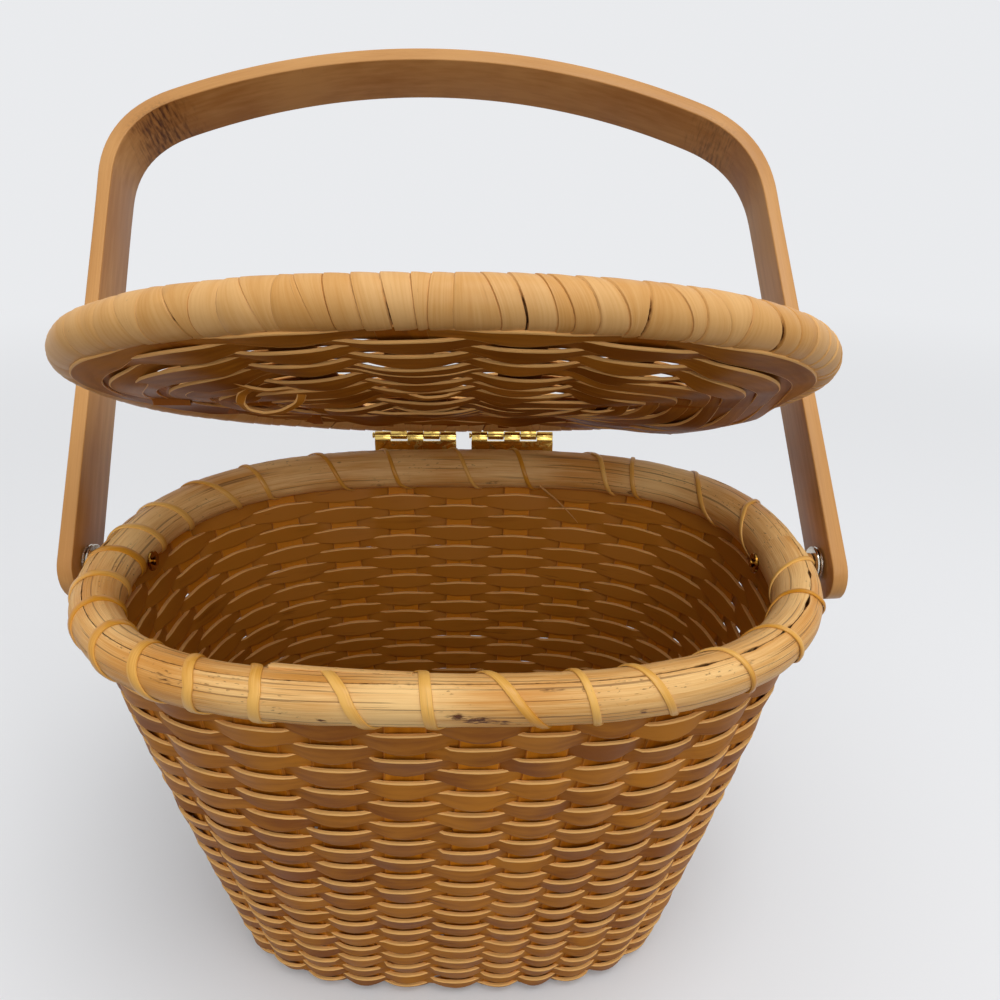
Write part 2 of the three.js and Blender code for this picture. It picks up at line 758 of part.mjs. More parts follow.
function lidStake(across) {
  const halfWidth = lidStakeWidth / 2;
  const edges = [across - halfWidth, across, across + halfWidth];
  const farEdge = Math.abs(across) + halfWidth;
  const reach = rowDepth(farEdge, 0);
  const marks = [0, reach];
  for (const edge of edges) {
    for (const inset of lidSagInsets) {
      if (Math.abs(edge) < lidHalfWidth - inset) {
        marks.push(rowDepth(edge, inset));
      }
    }
  }
  const kept = marks.filter((mark) => mark <= reach).sort((a, b) => a - b);
  const spaced = kept.filter((mark, i) => i === 0 || mark - kept[i - 1] > seatGap);
  const places = [...spaced.slice(1).reverse().map((mark) => -mark), ...spaced];
  const top = lidRimAboveAxis + lidStakeTop;
  const sections = places.map((along) => {
    const upper = edges.map((edge) => (
      new THREE.Vector3(edge, along - hingeAxisBack, top - sagAt(edge, along))
    ));
    const lower = upper.map((point) => point.clone().setZ(point.z - lidStakeThickness)).reverse();
    return [...upper, ...lower];
  });
  return loft(sections, false);
}

function addLid(lid) {
  const wrapOuter = arcPlaces(lidRimRadius, lidWrapArcDegrees);
  const wrapInner = arcPlaces(lidRimRadius - lidWrapThickness, lidWrapArcDegrees).reverse();
  addMesh(lid, "lid_rim_wrap", lidRing([...wrapOuter, ...wrapInner]), wrapMaterial);
  addMesh(lid, "lid_rim_core", lidRing(arcPlaces(lidCoreRadius, lidCoreArcDegrees)), rimMaterial);
  const topOffset = -lidRimRadius - seatGap;
  const underBottom = lidStakeTop - lidStakeThickness - lidWeaveSlack - lidWeaveThickness;
  addMesh(lid, "lid_top_weave", lidPanel(topOffset, lidStakeTop + lidWeaveSlack), weaveMaterial);
  addMesh(lid, "lid_under_weave", lidPanel(lidWeaveUnderRim, underBottom), weaveMaterial);
  for (let i = 0; i < lidStakeCount; i += 1) {
    const across = (i - (lidStakeCount - 1) / 2) * lidStakeSpacing - lidStakeShift;
    addMesh(lid, `lid_stake_${i + 1}`, lidStake(across), stakeMaterial);
  }
}

addBody();
addPivot(1, "right");
addPivot(-1, "left");

const handle = new THREE.Group();
handle.position.z = pivotHeight;
handle.rotation.x = -handleLean;
addMesh(handle, "handle_bar", handleSolid(), handleMaterial);
part.add(handle);

const hinges = new THREE.Group();
hinges.position.set(0, hingeAxisBack, hingeAxisHeight);
part.add(hinges);

const lid = new THREE.Group();
lid.position.copy(hinges.position);
lid.rotation.x = -lidOpening;
part.add(lid);

addLid(lid);
addHinge(hinges, lid, -1, "left");
addHinge(hinges, lid, 1, "right");

export default part;
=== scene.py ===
"""Oval splint basket with a swing handle and a woven lid on two butt hinges, in metres, +Z up."""
import math

import bpy
import numpy as np
from bpy.props import FloatProperty, FloatVectorProperty, IntProperty, PointerProperty
from mathutils import Matrix, Vector


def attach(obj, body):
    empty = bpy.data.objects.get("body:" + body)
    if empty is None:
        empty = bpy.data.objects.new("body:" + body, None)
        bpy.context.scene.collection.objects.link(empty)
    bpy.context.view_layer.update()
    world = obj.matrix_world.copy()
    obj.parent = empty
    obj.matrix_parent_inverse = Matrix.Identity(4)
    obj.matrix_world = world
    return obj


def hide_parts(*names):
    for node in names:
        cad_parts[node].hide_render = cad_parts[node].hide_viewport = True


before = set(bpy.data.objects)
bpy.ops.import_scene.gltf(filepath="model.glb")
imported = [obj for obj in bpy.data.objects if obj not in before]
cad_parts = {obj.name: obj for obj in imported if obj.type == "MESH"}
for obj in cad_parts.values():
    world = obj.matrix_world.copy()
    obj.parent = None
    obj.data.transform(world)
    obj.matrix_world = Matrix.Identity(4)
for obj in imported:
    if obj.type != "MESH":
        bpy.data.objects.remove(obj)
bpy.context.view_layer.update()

bl_info = {
    "name": "Lidded Splint Basket",
    "version": (1, 0, 0),
    "blender": (4, 5, 0),
    "location": "3D View > Sidebar > Basket",
    "description": "Builds a lidded splint basket, its materials and its stage",
    "category": "Object",
}

MM = 0.001
TURN = 2 * math.pi
MERGE_DISTANCE = 0.001 * MM
MAP_REACH = 3
FLOOR_CLEARANCE = 0.3 * MM

# The ring of the wall is divided into steps, from the right end round by the back, the left end and the front
RING_STEPS = 72
FRONT_STEP = 54
STAKE_STEPS = (
    43.2, 45.8, 48.4, 50.8, 53.1, 55.4, 57.5, 59.4, 61.4,
    63.7, 66.2, 68.9, 71.8, 74.8,
    77.9, 81.0, 84.15, 87.25, 90.2, 93.15, 96.2, 99.15, 102.05,
    104.65, 107.05, 109.15, 111.15, 113.15,
)
CROSS_STAKES = 9
LONG_STAKES = 5

# Places that the lashing passes: turn, degrees round the rim, with 0 outside and 90 on top, and step
LASHING_MARKS = (
    (0, 104, 46.7), (0, 40, 47.1), (0, -40, 46.95), (1, 106, 48.8), (1, 46, 49.05), (1, -40, 48.9),
    (2, 130, 50.65), (2, 56, 51.45), (2, -40, 52.05), (3, 125, 53.6), (3, 54, 53.75), (3, -40, 53.9),
    (4, 115, 55.55), (4, -40, 57.1), (5, 115, 58.05), (5, -40, 58.6),
    (6, 115, 59.8), (6, -25, 60.75), (7, 110, 62.7), (7, -32, 63.4), (8, 115, 65.0), (8, -16, 65.5),
    (9, 140, 67.7), (9, 46, 67.8), (10, 125, 69.8), (10, 40, 70.5), (11, 222, 73.2), (11, 116, 75.0),
    (12, 218, 76.5), (12, 108, 78.3), (13, 246, 80.9), (13, 122, 81.6), (14, 250, 82.25), (14, 106, 83.25),
    (15, 248, 86.45), (15, 80, 87.45), (16, 248, 89.2), (16, 80, 90.4), (17, 210, 93.15), (17, 80, 93.85),
    (18, 204, 96.05), (18, 94, 96.85), (19, 216, 99.8), (19, 78, 100.4), (20, 216, 101.5), (20, 74, 103.0),
    (21, 90, 105.3), (22, 90, 107.4), (23, 90, 109.3), (24, 90, 111.2), (25, 90, 113.1), (26, 90, 115.0),
    (27, 90, 116.9),
)

# Bands round the front of the lid's rim: share of the way round where each begins, and how far its gap opens
WRAP_STARTS = (
    (0.617, 0), (0.629, 0), (0.641, 0.1), (0.653, 1), (0.664, 0), (0.675, 0), (0.6845, 0.2), (0.6955, 0),
    (0.7045, 0), (0.7135, 0), (0.7235, 0), (0.734, 0.6), (0.744, 0), (0.75, 0), (0.7585, 0), (0.771, 0),
    (0.7805, 1), (0.791, 0), (0.796, 0), (0.806, 0), (0.816, 0.1), (0.8275, 1), (0.84, 0), (0.8485, 0),
    (0.857, 0), (0.87, 0.3), (0.8845, 1), (0.896, 0), (0.9095, 0.3), (0.921, 0), (0.933, 0.1), (0.944, 0),
)

# Knots and small holes in the hoops: step, degrees round the rim, half length and half height in mm, depth
RIM_KNOTS = (
    (55.2, -6, 4.6, 1.5, 1), (54.6, 4, 3, 1.3, 0.8), (55.9, -14, 2.5, 1, 0.9), (59.8, -4, 1.1, 0.9, 1),
    (50.85, -12, 1.3, 0.8, 1), (46.3, 40, 3.5, 2, 0.45), (63.0, 52, 4, 1, 0.5), (57.2, 60, 5, 0.8, 0.5),
    (70.4, 30, 1.6, 1, 0.7), (16.5, 205, 4, 1.2, 0.6), (22.3, 215, 5, 1.4, 0.5), (9.4, 210, 3, 1.2, 0.7),
)

# Places where the two hoops have opened between two turns of the lashing: step, half length in steps
RIM_SLITS = ((61.75, 0.45), (63.5, 0.35), (65.2, 0.4), (67.1, 0.45), (69.1, 0.3), (36.8, 0.4))
RIM_SLIT_WIDTH = 0.5 * MM

# Strands that have come loose and hang under the lid: places in the closed lid's frame, in mm
LOOSE_STRANDS = (
    ((-68.3, -44, -11.1), (-63.4, -38, -12.0), (-57.8, -35, -12.4), (-51.2, -33, -11.0), (-47.5, -31, -11.9),
     (-49.2, -29, -15.2), (-54.8, -27, -17.6), (-61.1, -26, -18.4), (-66.9, -27, -17.3), (-68.9, -29, -14.9),
     (-67.3, -32, -12.5), (-62.4, -36, -11.3)),
    ((-26, 5, -8.6), (-24.4, 4, -9.8), (-17.9, 3, -12), (-10.8, 3, -13), (-1, 4, -11.6), (8.8, 5, -7.8)),
    ((-19, -29, -9), (-17.1, -30, -10.2), (-12.1, -31, -12.5), (-7.5, -31, -13.9), (-0.5, -30, -13.2),
     (7, -29, -10)),
    ((38, 6, -7), (46.4, 5, -11), (53.7, 4, -12.5), (60.5, 5, -11.4), (68, 6, -7.4)),
    ((16, 7, -8), (22, 6, -10.8), (29.3, 5, -12.3), (36, 6, -11), (42, 7, -8.2)),
)

# Fine crackle inside the handle's bends: place across and height above the pivots in mm, strength
BEND_CRACKLE = ((-148, 216, 0.5), (124, 210, 0.34))
CRACKLE_REACH = 20

# Start of each piece's random draws, to which the number of its row or stake is added
SEEDS = {
    "stake tone": 40, "base tone": 80,
    "weaver": 300, "weaver wander": 500, "weaver tilt": 700, "weaver tone": 900,
    "outer hoop": 31, "inner hoop": 36, "lashing width": 61, "lashing tone": 63, "handle tone": 71,
    "lid bands": 88, "lid rim swell": 89, "lid stake tone": 140,
    "lid weaver": 1200, "lid wander": 1300, "lid tone": 1400, "lid tilt": 1500,
}


def length(name, description, default):
    """A length given in mm."""
    return FloatProperty(name=name, description=description, default=default * MM, unit="LENGTH",
                         subtype="DISTANCE")


def share(name, description, default):
    return FloatProperty(name=name, description=description, default=default, subtype="FACTOR")


def turn(name, description, degrees):
    return FloatProperty(name=name, description=description, default=math.radians(degrees), subtype="ANGLE")


def colour(name, description, default):
    return FloatVectorProperty(name=name, description=description, default=default, size=3, subtype="COLOR")


def linear(red, green, blue):
    """A colour written as it shows on screen, from 0 to 255, as the values that shaders use."""
    return tuple((value / 255) ** 2.2 for value in (red, green, blue))


class BasketBodySizes(bpy.types.PropertyGroup):
    rim_height: length("Rim height", "Height of the middle of the rim above the floor", 170.4)
    rim_half_width: length("Rim half width", "Half the width of the wall at the rim", 127)
    rim_half_depth: length("Rim half depth", "Half the depth of the wall at the rim", 87.6)
    rim_width_power: share("Rim width power", "Squareness of the rim at its ends", 2.9)
    rim_depth_power: share("Rim depth power", "Squareness of the rim at front and back", 2.4)
    base_half_width: length("Base half width", "Half the width of the wall at the floor", 91)
    base_half_depth: length("Base half depth", "Half the depth of the wall at the floor", 60)
    base_width_power: share("Base width power", "Squareness of the base at its ends", 3.2)
    base_depth_power: share("Base depth power", "Squareness of the base at front and back", 3)
    base_shift: length("Base shift", "How far the floor of the basket stands to the left of its rim", 2.5)
    wall_bulge: length("Wall bulge", "How far the wall swells halfway up", 1.3)
    foot_radius: length("Foot radius", "Radius of the turn from the base into the wall", 2.5)
    foot_lift: length("Foot lift", "Height of the middle of the base splints above the floor", 1.8)
    stake_width: length("Stake width", "Width of an upright splint", 13)
    stake_thickness: length("Stake thickness", "Thickness of an upright splint", 1)
    stake_lean: share("Stake lean", "Steps that the front stakes lean from rim to base", 1.1)
    weaver_rows: IntProperty(name="Weaver rows", description="Rows of weaving up the wall", default=34)
    lowest_pitch: length("Lowest row pitch", "Height of the lowest row", 4)
    highest_pitch: length("Highest row pitch", "Height of the highest row", 5.45)
    weaver_thickness: length("Weaver thickness", "Thickness of a wall weaver", 1.6)
    weaver_swing: length("Weaver swing", "How far a weaver swings to each side of the stakes", 2.35)
    # Painted light: the faces of the stakes and weavers that look into the basket are painted lighter,
    # standing in for light inside it.
    painted_inner_light: share("Painted inner light", "How much lighter the splints are inside the basket", 1.4)
    inner_swing: share("Inner swing", "Swing to the inner side as a share of the outer", 0.55)
    weaver_fullness: share("Weaver fullness", "How much taller a weaver shows where it crosses a stake", 0.42)


class BasketRimSizes(bpy.types.PropertyGroup):
    hoop_radius: length("Hoop radius", "Radius of the half-round rim hoops", 8.1)
    back_fullness: length("Back fullness", "How much fuller the hoops are at the back", 1)
    hoop_gap: length("Hoop gap", "Distance of a hoop's flat side from the middle of the wall", 0.6)
    hoop_seam: length("Hoop seam", "Gap on each side of the seam between the two hoops", 0.06)
    seam_shift: length("Seam shift", "How far the seam on top stands outside the middle of the wall", 1.8)
    lashing_width: length("Lashing width", "Width of the cane round the rim", 3.4)
    lashing_thickness: length("Lashing thickness", "Thickness of the cane round the rim", 0.7)
    back_narrowing: share("Back narrowing", "How much narrower the cane is at the back", 0.38)


class BasketHandleSizes(bpy.types.PropertyGroup):
    thickness: length("Thickness", "Thickness of the bent bar", 5.8)
    width: length("Width", "Width of the bent bar", 22.8)
    pivot_half_span: length("Pivot half span", "Half the distance between the middles of the two legs", 146.7)
    right_corner_in: length("Right corner in", "How far the right corner stands inside its pivot", 8.7)
    right_corner_up: length("Right corner up", "Height of the right corner above the pivots", 199)
    left_corner_out: length("Left corner out", "How far the left corner stands outside its pivot", 16.9)
    left_corner_up: length("Left corner up", "Height of the left corner above the pivots", 208)
    corner_setback: length("Corner setback", "Where the corner bends begin and end", 31)
    crown_rise: length("Crown rise", "Rise of the crown above its corners", 44.9)
    crown_growth: share("Crown growth", "How much thicker the bar is over the crown than in the legs", 0.33)
    foot_drop: length("Foot drop", "How far the feet reach below the pivots", 14)
    edge_radius: length("Edge radius", "Rounding of the long edges", 0.6)
    lean: turn("Lean", "How far the handle leans back", 43)


class BasketPivotSizes(bpy.types.PropertyGroup):
    height: length("Height", "Height of the pivots above the floor", 166.4)
    bolt_radius: length("Bolt radius", "Radius of the bolt's shank", 1.5)
    bore_radius: length("Bore radius", "Radius of the holes that the bolt passes through", 1.8)
    head_radius: length("Head radius", "Radius of the bolt's domed head", 4.2)
    head_height: length("Head height", "Height of the bolt's domed head", 1.8)
    head_seat: length("Head seat", "Distance of the bolt's head from the middle of the basket", 149.95)
    tail: length("Tail", "Distance of the bolt's inner end from the middle of the basket", 116.5)
    spacer_radius: length("Spacer radius", "Radius of the wooden spacer", 4)
    spacer_length: length("Spacer length", "Length of the wooden spacer", 5)
    spacer_seat: length("Spacer seat", "Distance of the spacer from the middle of the basket", 135.3)
    washer_radius: length("Washer radius", "Radius of the two washers", 6.5)
    washer_thickness: length("Washer thickness", "Thickness of a washer", 1)
    inner_washer_seat: length("Inner washer seat", "Distance of the inner washer from the middle", 140.6)
    outer_washer_seat: length("Outer washer seat", "Distance of the outer washer from the middle", 141.9)
    burr_radius: length("Burr radius", "Radius of the riveted burr inside the rim", 4)
    burr_thickness: length("Burr thickness", "Thickness of the burr", 1.2)
    burr_seat: length("Burr seat", "Distance of the burr from the middle of the basket", 117.5)


class BasketLidSizes(bpy.types.PropertyGroup):
    hinge_back: length("Hinge axis back", "Distance of the hinge axis behind the middle", 99.6)
    hinge_height: length("Hinge axis height", "Height of the hinge axis above the floor", 183.2)
    opening: turn("Opening", "How far the lid stands open", 27.8)
    half_width: length("Half width", "Half the width of the lid's rim", 129)
    half_depth: length("Half depth", "Half the depth of the lid's rim", 89.8)
    width_power: share("Width power", "Squareness of the lid at its ends", 2.2)
    depth_power: share("Depth power", "Squareness of the lid at front and back", 2.3)
    rim_above_axis: length("Rim above axis", "Height of the lid rim's middle above the hinge axis", 7.8)
    rim_radius: length("Rim radius", "Radius of the wrapped lid rim", 7.4)
    right_hang: length("Right hang", "How much lower the weaving hangs near the right end", 5)
    wrap_bands: IntProperty(name="Wrap bands", description="Turns of splint round the lid rim", default=94)
    wrap_step: length("Wrap step", "How far each turn of the wrapping stands over the next", 0.55)
    stake_count: IntProperty(name="Stakes", description="Flat stakes across the lid", default=7)
    stake_width: length("Stake width", "Width of a lid stake", 14)
    stake_spacing: length("Stake spacing", "Distance between lid stakes", 32)
    stake_shift: length("Stake shift", "How far the lid stakes stand towards the left", 8)
    stake_thickness: length("Stake thickness", "Thickness of a lid stake", 0.8)
    ring_pitch: length("Ring pitch", "Distance between the rows of the lid's weaving", 5.6)
    weaver_thickness: length("Weaver thickness", "Thickness of a lid weaver", 1.1)
    upper_swing: share("Upper swing", "Swing above the stakes as a share of the swing below", 0.3)


class BasketHingeSizes(bpy.types.PropertyGroup):
    edge: length("Edge", "Rounding of the stamped edges", 0.25)


class BasketColours(bpy.types.PropertyGroup):
    weaver_dark: colour("Weaver, dark", "Dark grain of the weavers", linear(128, 72, 14))
    weaver_light: colour("Weaver, light", "Light grain of the weavers", linear(180, 114, 36))
    # Pale cut edges, with a painted highlight along them.
    weaver_edge: colour("Weaver, edge", "Cut edges of the weavers", linear(246, 190, 116))
    stake_dark: colour("Stake, dark", "Dark grain of the stakes", linear(148, 82, 12))
    stake_light: colour("Stake, light", "Light grain of the stakes", linear(202, 126, 30))
    rim_dark: colour("Rim, dark", "Dark grain of the rim hoops", linear(206, 142, 68))
    rim_light: colour("Rim, light", "Light grain of the rim hoops", linear(244, 200, 134))
    cane_dark: colour("Cane, dark", "Dark streaks of the lashing", linear(204, 138, 44))
    cane_light: colour("Cane, light", "Light streaks of the lashing", linear(232, 178, 94))
    handle_dark: colour("Handle, dark", "Dark grain of the handle", linear(172, 114, 56))
    handle_light: colour("Handle, light", "Light grain of the handle", linear(204, 150, 90))
    wrap_dark: colour("Wrap, dark", "Dark streaks of the lid wrapping", linear(206, 148, 80))
    wrap_light: colour("Wrap, light", "Light streaks of the lid wrapping", linear(224, 174, 112))
    # The crack colour also serves as the painted shade in the rim's seam and in the steps and gaps of the
    # lid's wrapping.
    crack: colour("Crack", "Cracks and dark hollows", linear(88, 48, 18))
    brass: colour("Brass", "Polished brass", linear(232, 198, 110))
    brass_dull: colour("Brass, dull", "Tarnish on the brass", linear(160, 118, 52))
    steel: colour("Steel", "Washers", linear(214, 208, 196))
    steel_dull: colour("Steel, dull", "Dull places on the washers", linear(140, 132, 118))
    floor: colour("Floor", "Pale floor", (0.82, 0.83, 0.85))
    floor_bounce: colour("Floor bounce", "What the floor sends back up", (0.2, 0.2, 0.2))


SETTINGS = {
    "basket_body": BasketBodySizes,
    "basket_rim": BasketRimSizes,
    "basket_handle": BasketHandleSizes,
    "basket_pivot": BasketPivotSizes,
    "basket_lid": BasketLidSizes,
    "basket_hinge": BasketHingeSizes,
    "basket_colours": BasketColours,
}


# Shapes

def blended(start, end, part):
    return start + (end - start) * part


def ramp(value, start, end, least=0):
    """Goes from 0 at start to 1 at end and stays there, but is never below least."""
    return np.clip((value - start) / (end - start), least, 1)


def unit(vectors):
    return vectors / np.linalg.norm(vectors, axis=-1, keepdims=True)


def distance_run(line):
    """Distance along a line of points at each of them."""
    return np.concatenate([[0], np.cumsum(np.linalg.norm(np.diff(line, axis=0), axis=1))])


def station_at(part, count):
    """Number of the nearest of the stations that divide a run into count equal steps."""
    return np.round(part * count).astype(int)


def smooth_noise(seed, part, waves):
    """A wandering value near -1 to 1 that is the same at part 0 and part 1, and the same on every run."""
    rolls = np.random.RandomState(seed)
    part = np.asarray(part, float)
    value = np.zeros_like(part)
    for wave in range(1, waves + 1):
        value += rolls.uniform(-1, 1) * np.sin(TURN * wave * part + rolls.uniform(0, TURN))
    return value / math.sqrt(waves / 2)


def oblong(angle, half_width, half_depth, width_power, depth_power):
    across, along = np.cos(angle), np.sin(angle)
    return np.stack([
        half_width * np.sign(across) * np.abs(across) ** (2 / width_power),
        half_depth * np.sign(along) * np.abs(along) ** (2 / depth_power),
    ], -1)


class WallShape:
    """The basket's wall: a tapering oblong whose ring is measured in steps."""
    samples = 40001

    def __init__(self, sizes):
        self.sizes = sizes
        self.angles = np.linspace(0, TURN, self.samples)
        run = distance_run(oblong(self.angles, sizes.rim_half_width, sizes.rim_half_depth,
                                  sizes.rim_width_power, sizes.rim_depth_power))
        self.shares = run / run[-1]
        self.stakes = np.array(STAKE_STEPS + (STAKE_STEPS[0] + RING_STEPS,))

    def outline(self, step, height):
        sizes = self.sizes
        angle = np.interp(np.mod(step, RING_STEPS) / RING_STEPS, self.shares, self.angles)
        depth = 1 - height / sizes.rim_height
        bulge = sizes.wall_bulge * 4 * np.maximum(0, depth * (1 - depth))
        line = oblong(
            angle,
            blended(sizes.rim_half_width, sizes.base_half_width, depth) + bulge,
            blended(sizes.rim_half_depth, sizes.base_half_depth, depth) + bulge,
            blended(sizes.rim_width_power, sizes.base_width_power, depth),
            blended(sizes.rim_depth_power, sizes.base_depth_power, depth),
        )
        line[..., 0] -= sizes.base_shift * np.maximum(0, depth)
        return line

    def frame(self, step, height):
        """A place on the wall, the way along the ring and the way outwards."""
        here = self.outline(step, height)
        run = unit(self.outline(step + 0.5, height) - self.outline(step - 0.5, height))
        flat = np.zeros(here.shape[:-1] + (1,))
        place = np.concatenate([here, flat + np.asarray(height)[..., None]], -1)
        along = np.concatenate([run, flat], -1)
        outwards = np.stack([run[..., 1], -run[..., 0], flat[..., 0]], -1)
        return place, along, outwards

    def point(self, step, height, offset):
        place, _, outwards = self.frame(step, height)
        return place + outwards * np.asarray(offset)[..., None]

    def climb(self, rise):
        """Height, inset and lean of the wall after a run up from the base, round the foot."""
        sizes = self.sizes
        radius = sizes.foot_radius
        bend = np.clip(rise / radius, 0, math.pi / 2)
        straight = np.maximum(rise - radius * math.pi / 2, 0)
        return sizes.foot_lift + radius * (1 - np.cos(bend)) + straight, radius * (1 - np.sin(bend)), bend

    def stake_step(self, index, height):
        top = np.interp(np.mod(index, len(STAKE_STEPS)), np.arange(len(STAKE_STEPS) + 1), self.stakes)
        facing = np.maximum(0, np.cos((top - FRONT_STEP) / RING_STEPS * TURN))
        return top - self.sizes.stake_lean * facing * (1 - height / self.sizes.rim_height)

    def woven_place(self, index, rise, depth):
        """A place in the weaving: index counts stakes, rise runs up the wall, depth stands out from it."""
        height, inset, bend = self.climb(rise)
        step = self.stake_step(index, height)
        place = self.point(step, height, depth * np.sin(bend) - inset)
        place[..., 2] = np.maximum(place[..., 2] - depth * np.cos(bend), FLOOR_CLEARANCE)
        return place


def clear_selection():
    if bpy.context.object and bpy.context.object.mode != "OBJECT":
        bpy.ops.object.mode_set(mode="OBJECT")
    bpy.ops.object.select_all(action="DESELECT")


def close_mesh(piece, merge):
    """Joins what meets, closes what is open and turns all faces outwards."""
    clear_selection()
    piece.select_set(True)
    bpy.context.view_layer.objects.active = piece
    bpy.ops.object.mode_set(mode="EDIT")
    bpy.ops.mesh.select_all(action="SELECT")
    bpy.ops.mesh.remove_doubles(threshold=merge)
    bpy.ops.mesh.select_all(action="SELECT")
    bpy.ops.mesh.fill_holes(sides=0)
    bpy.ops.mesh.select_all(action="SELECT")
    bpy.ops.mesh.normals_make_consistent(inside=False)
    bpy.ops.object.mode_set(mode="OBJECT")


def laid_band(name, along, around, place, run=1.0, girth=1.0, edge=None, tone=None, shade_and_hollow=None,
              smooth_degrees=40):
    """A grid whose cells are laid round a path: place(u, v) gives each point for u and v from 0 to 1."""
    clear_selection()
    bpy.ops.mesh.primitive_grid_add(x_subdivisions=along, y_subdivisions=around, size=2)
    piece = bpy.context.object
    piece.name = piece.data.name = name
    mesh = piece.data
    flat = np.empty(len(mesh.vertices) * 3)
    mesh.vertices.foreach_get("co", flat)
    u, v = ((flat.reshape(-1, 3)[:, :2] + 1) / 2).T
    mesh.vertices.foreach_set("co", place(u, v).ravel())
    corners = np.empty(len(mesh.loops) * 2)
    mesh.uv_layers.active.data.foreach_get("uv", corners)
    # Each piece has its own place on the grain
    shift = np.random.RandomState(sum(map(ord, name)) * 7).uniform(0, MAP_REACH, 2)
    mesh.uv_layers.active.data.foreach_set("uv", (corners.reshape(-1, 2) * (run, girth) + shift).ravel())
    for label, values in (("edge", edge), ("tone", tone), ("shade_and_hollow", shade_and_hollow)):
        layer = mesh.attributes.new(label, "FLOAT", "POINT")
        if values is not None:
            layer.data.foreach_set("value", np.asarray(values(u, v), np.float32))
    close_mesh(piece, MERGE_DISTANCE)
    bpy.ops.object.shade_smooth_by_angle(angle=math.radians(smooth_degrees))
    return piece


def flat_section(half_width, half_thickness, corner):
    """Across and through places of a flat strip's section, with how near each is to a cut edge."""
    bevelled = half_width - corner
    plain = half_width - 2.4 * corner
    side = half_thickness - corner
    upper = [(half_width, side, 1), (bevelled, half_thickness, 0.8), (plain, half_thickness, 0),
             (-plain, half_thickness, 0), (-bevelled, half_thickness, 0.8), (-half_width, side, 1)]
    lower = [(-across, -through, near) for across, through, near in upper]
    return np.array([lower[-1]] + upper + lower[:-1])


def section_at(section, v):
    """Rows of a section for each v, which runs round it once."""
    return section[station_at(v, len(section)) % len(section)]


def cut_edges(section):
    """A function that says how near each place on a strip is to its cut edges."""
    return lambda u, v: section_at(section, v)[:, 2]


def painted_inner_light_tone(sizes, section, v):
    """The side of a splint that faces into the basket is painted lighter, as painted light inside the basket.
    """
    return sizes.painted_inner_light * (section_at(section, v)[:, 1] < 0)


def dress(piece, body, slot, material, *nodes):
    piece.data.materials.clear()
    piece.data.materials.append(bpy.data.materials[material])
    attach(piece, body)
    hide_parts(*nodes)
    return piece


def float_shape(phase, flatness=0.25):
    """A wave that stays flat over a stake and passes quickly between two stakes."""
    wave = np.cos(math.pi * phase)
    return wave * (1 + flatness - flatness * wave * wave)


# Materials

def link_all(tree, *pairs):
    for source, target in pairs:
        tree.links.new(source, target)


def new_group(name, inputs, outputs):
    group = bpy.data.node_groups.new(name, "ShaderNodeTree")
    for label, kind, value in inputs:
        socket = group.interface.new_socket(name=label, in_out="INPUT", socket_type=kind)
        if value is not None:
            socket.default_value = value
    for label, kind in outputs:
        group.interface.new_socket(name=label, in_out="OUTPUT", socket_type=kind)
    nodes = group.nodes
    return group, nodes.new("NodeGroupInput"), nodes.new("NodeGroupOutput")


def add_node(tree, kind, **settings):
    node = tree.nodes.new(kind)
    for label, value in settings.items():
        setattr(node, label, value)
    return node


def fill(tree, socket, value):
    """Sets a socket to a number or a colour, or links it."""
    if isinstance(value, (int, float)):
        socket.default_value = value
    elif isinstance(value, tuple):
        socket.default_value = value[:3] + (1,)
    else:
        tree.links.new(value, socket)


def calculate(tree, operation, *values):
    node = add_node(tree, "ShaderNodeMath", operation=operation)
    for socket, value in zip(node.inputs, values):
        fill(tree, socket, value)
    return node.outputs[0]


def mixed(tree, factor, first, second):
    node = add_node(tree, "ShaderNodeMix", data_type="RGBA")
    for number, value in ((0, factor), (6, first), (7, second)):
        fill(tree, node.inputs[number], value)
    return node.outputs[2]


def stretched_noise(tree, vector, stretch, detail=4.0, distortion=0.0):
    mapping = add_node(tree, "ShaderNodeMapping")
    mapping.inputs["Scale"].default_value = stretch
    tree.links.new(vector, mapping.inputs["Vector"])
    noise = add_node(tree, "ShaderNodeTexNoise")
    noise.inputs["Scale"].default_value = 1
    noise.inputs["Detail"].default_value = detail
    noise.inputs["Distortion"].default_value = distortion
    tree.links.new(mapping.outputs[0], noise.inputs["Vector"])
    return noise.outputs[0]


def remapped(tree, value, low, high, new_low=0.0, new_high=1.0):
    node = add_node(tree, "ShaderNodeMapRange", interpolation_type="SMOOTHSTEP")
    tree.links.new(value, node.inputs[0])
    for socket, number in zip(node.inputs[1:5], (low, high, new_low, new_high)):
        socket.default_value = number
    return node.outputs[0]


